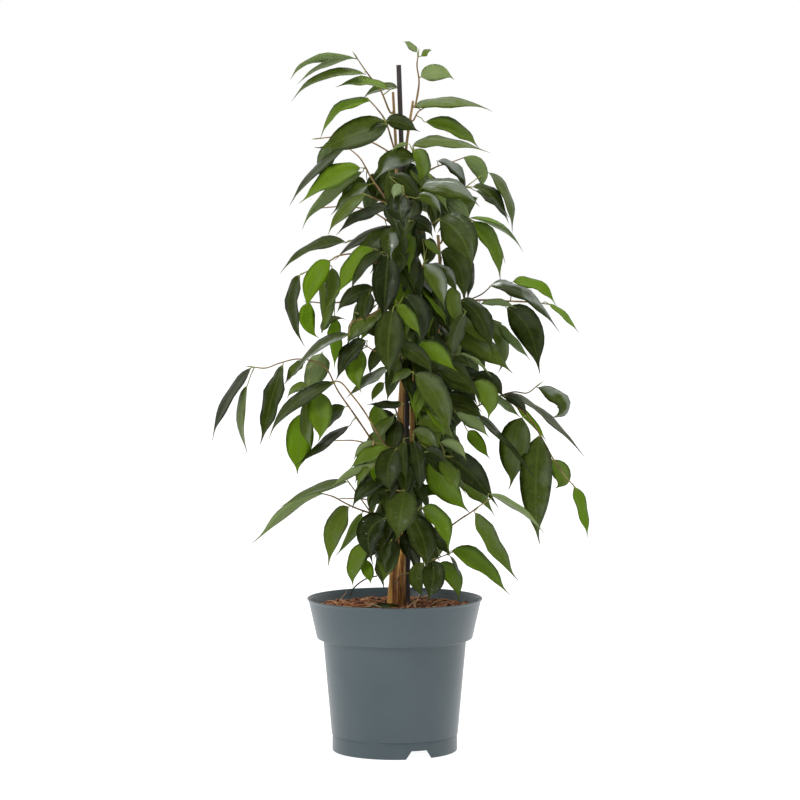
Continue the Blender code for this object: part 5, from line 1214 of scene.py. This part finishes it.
stalk = Finish("fig_stalk", Specular_IOR_Level=0.3)
patch = stalk.noise(120, 3)
green = stalk.ramp(patch, [(0.3, (0.10, 0.12, 0.022)), (0.7, (0.24, 0.26, 0.055))])
fig_stalk = stalk.ends(green, 0.42, stalk.bumped(stalk.noise(1600, 2), 0.0001))
rind = Finish("fig_twig", Specular_IOR_Level=0.3)
patch = rind.noise(70, 4, 0.6)
brown = rind.ramp(patch, [
    (0.3, (0.095, 0.048, 0.022)), (0.5, (0.20, 0.115, 0.042)), (0.7, (0.24, 0.20, 0.065))])
fig_twig = rind.ends(brown, 0.5 + patch * 0.2, rind.bumped(rind.noise(1400, 3), 0.0002))
shape = random.Random(LEAF_SEED)
for name, lines in twigs.items():
    woody, soft = [], []
    for n, line in enumerate(lines):
        start = line[0] + (line[0] - line[1]).normalized() * (TWIG_SINK if n == 0 else 0)
        fine = smooth_line([start, *line[1:]], 5)
        radii = spaced_radii(TWIG_FOOT, TWIG_TIP, len(fine))
        woody.append([
            (point, radius * (1 + KNOB_SHARE * max(0, noise.noise(point * KNOBS_OFTEN))))
            for point, radius in zip(fine, radii)])
        end = (fine[-1] - fine[-2]).normalized()
        soft.append([(fine[-1] + end * (BUD_LENGTH * share), radius) for share, radius in BUD])
    hung = [(*grown_leaf(leaf, depth, lines), leaf[7]) for leaf, depth in leaves[name]]
    for root, spine, face, width, look in hung + turned_leaves[name]:
        if spine[0].y > BEHIND and look == HIDDEN:
            face = Vector((face.x, abs(face.y), face.z))
        base, along = spine_at(spine, 0)
        reach = (base - root).length
        middle = root + (base - root) * 0.5 + Vector((0, 0, STALK_ARCH * reach))
        short = along * min(STALK_SHORT, reach * 0.2)
        soft.append([
            (root, STALK_FOOT), (middle, STALK_MIDDLE), (base - short, STALK_MIDDLE),
            (base + along * STALK_INTO, STALK_END)])
        # Each look's lightness, and its share of painted sheen and clear coat.
        light, sheen_and_coat_share = SHADES[look]
        sheet = laid(spine, face, width, shape)
        blades.add(sheet, shade=min(1, max(0, light + shape.gauss(0, SHADE_SPREAD))), bloom=sheen_and_coat_share)
    spray = blades.made(f"leafy_{name}", fig_leaf)
    parts = [rods("twigs", woody, fig_twig, 8), rods("stalks", soft, fig_stalk, 6)]
    alone(spray)
    for piece in parts:
        piece.select_set(True)
    bpy.ops.object.join()
    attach(spray, "root")
    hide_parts(name)

# Dead wood and litter: a dropped leaf and dry straws on the mix, a thin dead stalk bent over beside the
# stems, the stub of a cut side shoot, a bare tan twig, and a tuft of old papery bud scales.
FALLEN_SPINE = (
    Vector((0.005, -0.030, 0.1752)), Vector((-0.014, -0.024, 0.1800)), Vector((-0.036, -0.031, 0.1745)))
FALLEN_FACE = Vector((0, -0.35, 0.94))
FALLEN_WIDTH = 0.018
STRAWS = (
    ((340, 600, -0.030), (343.5, 596, -0.028), (347, 591, -0.026)),
    ((414, 606, -0.034), (417, 600, -0.032), (421, 591, -0.030)),
    ((407, 608, -0.050), (411, 604, -0.046), (415, 600.5, -0.042)),
    ((371, 603, -0.040), (376, 605.5, -0.046), (381, 607, -0.052)),
    ((432, 604, -0.030), (437, 601, -0.028), (443, 600, -0.026)),
    ((360, 600, 0.020), (366, 599, 0.016), (371, 596, 0.012)))
STRAW_FOOT, STRAW_TIP = 0.0006, 0.0003
DEAD_STALK = (
    (350, 596, -0.010), (353, 589, -0.012), (360, 582.5, -0.016), (368, 578, -0.020), (377, 576, -0.024))
DEAD_RADIUS = 0.0009
SNAGS = (
    (((395, 526, -0.014), (388, 524.5, -0.024), (381, 523, -0.034)), 0.0015),
    (((388, 538, -0.030), (392, 543, -0.026), (399, 551, -0.020)), 0.0009),
    (((399, 474, 0.006), (407, 484, 0.002), (413, 478, -0.004)), 0.0010))
SCALES = (
    ((374, 450, -0.074), (371.5, 446, -0.077), (370.5, 441, -0.078)),
    ((374, 450, -0.074), (373, 446, -0.080), (373.5, 440, -0.082)),
    ((374, 450, -0.074), (376, 446.5, -0.078), (377, 442, -0.076)))
SCALE_RADII = (0.0006, 0.0012, 0.0015, 0.0014, 0.0011, 0.0006, 0.0002)


def flecked(name, scale, stops, roughness):
    """A dull finish of dry growth, flecked between two browns."""
    dry = Finish(name, Specular_IOR_Level=0.2)
    fleck = dry.noise(scale, 4, 0.6)
    return dry.ends(dry.ramp(fleck, stops), roughness, dry.bumped(fleck, 0.0003))


# The dropped leaf gets a little painted sheen and clear coat.
blades.add(laid(FALLEN_SPINE, FALLEN_FACE, FALLEN_WIDTH, shape), shade=0.06, bloom=0.3)
fallen = blades.made("dropped_leaf", fig_leaf)
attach(fallen, "root")
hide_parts("fallen_leaf")
fig_dry = flecked("dry_straw", 300, [(0.3, (0.30, 0.17, 0.075)), (0.7, (0.62, 0.44, 0.24))], 0.75)
fig_gone = flecked("dead_stalk", 400, [(0.3, (0.018, 0.014, 0.010)), (0.7, (0.060, 0.045, 0.030))], 0.7)
thin = spaced_radii(STRAW_FOOT, STRAW_TIP, len(SCALE_RADII))
straws = rods("dry_straws", [list(zip(traced(line, 3), thin)) for line in STRAWS], fig_dry, 6)
scales = rods("bud_scales", [list(zip(traced(line, 3), SCALE_RADII)) for line in SCALES], fig_dry, 6)
dead = rods("dead_stalk", [[(point, DEAD_RADIUS) for point in traced(DEAD_STALK, 4)]], fig_gone, 6)
cuts = [[(point, radius) for point in traced(line, 4)] for line, radius in SNAGS]
snags = rods("cut_shoots", cuts, fig_bark, 8)
for piece, slot in ((straws, "potting_mix"), (scales, "fig_bark"), (dead, "fig_bark"), (snags, "fig_bark")):
    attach(piece, "root")

# The floor and the light: a plain pale table lit from within, a white room that is brightest behind the
# plant, and soft lights from the front left, the front right and above. The eye is three quarters up the
# plant and looks slightly down. Each lamp has its place, width, height and watts.
LAMPS = (
    ("key", (-1.5, -1.9, 1.5), 0.6, 1.4, 34), ("fill", (2.0, -1.5, 1.4), 0.6, 1.2, 7),
    ("top", (0.1, 0.2, 2.6), 1.0, 1.0, 34))
LAMP_AIM = Vector((0, 0, 0.45))
FLOOR_SIZE = 40
LENS = 135
SENSOR = 36
for name, place, width, tall, power in LAMPS:
    lamp = bpy.data.objects.new(name, bpy.data.lights.new(name, "AREA"))
    lamp.data.shape = "RECTANGLE"
    lamp.data.size = width
    lamp.data.size_y = tall
    lamp.data.energy = power
    lamp.location = place
    lamp.rotation_euler = (LAMP_AIM - Vector(place)).to_track_quat("-Z", "Y").to_euler()
    bpy.context.scene.collection.objects.link(lamp)


class Room(Finish):
    """The light from all round, built of nodes in the same way as a finish."""

    def __init__(self, name):
        self.world = bpy.data.worlds.new(name)
        self.world.use_nodes = True
        self.nodes = self.world.node_tree.nodes
        self.links = self.world.node_tree.links
        self.shader = self.nodes["Background"]


room = Room("white_room")
way = room.node("ShaderNodeTexCoord", out="Generated")
ahead, rise = room.part(way, 1), room.part(way, 2)
walls = room.ramp(ahead * 0.5 + 0.5, [(0.30, (0.32, 0.32, 0.32)), (0.62, (1, 1, 1))])
room.plug(room.shader.inputs["Color"], room.mixed(room.masked(rise, 0.10, 0.04), walls, (1, 1, 1)))
bpy.context.scene.world = room.world
bpy.ops.object.select_all(action="DESELECT")
bpy.ops.mesh.primitive_plane_add(size=FLOOR_SIZE)
floor = bpy.context.object
floor.name = "pale_floor"
pale = Finish("pale_floor", Specular_IOR_Level=0.0, Emission_Strength=0.96)
paper = pale.ramp(pale.noise(3, 2), [(0.3, (0.98, 0.98, 0.98)), (0.7, (1, 1, 1))])
pale.plug(pale.shader.inputs["Emission Color"], paper)
floor.data.materials.append(pale.ends(pale.tinted(1.0, paper, (0.3, 0.3, 0.3)), 0.9))
eye = bpy.data.objects.new("eye", bpy.data.cameras.new("eye"))
eye.data.lens = LENS
eye.data.sensor_width = SENSOR
eye.location = EYE
eye.rotation_euler = (math.radians(90) - LOOK_DOWN, 0, 0)
bpy.context.scene.collection.objects.link(eye)
bpy.context.scene.camera = eye
bpy.context.scene.view_settings.view_transform = "Standard"
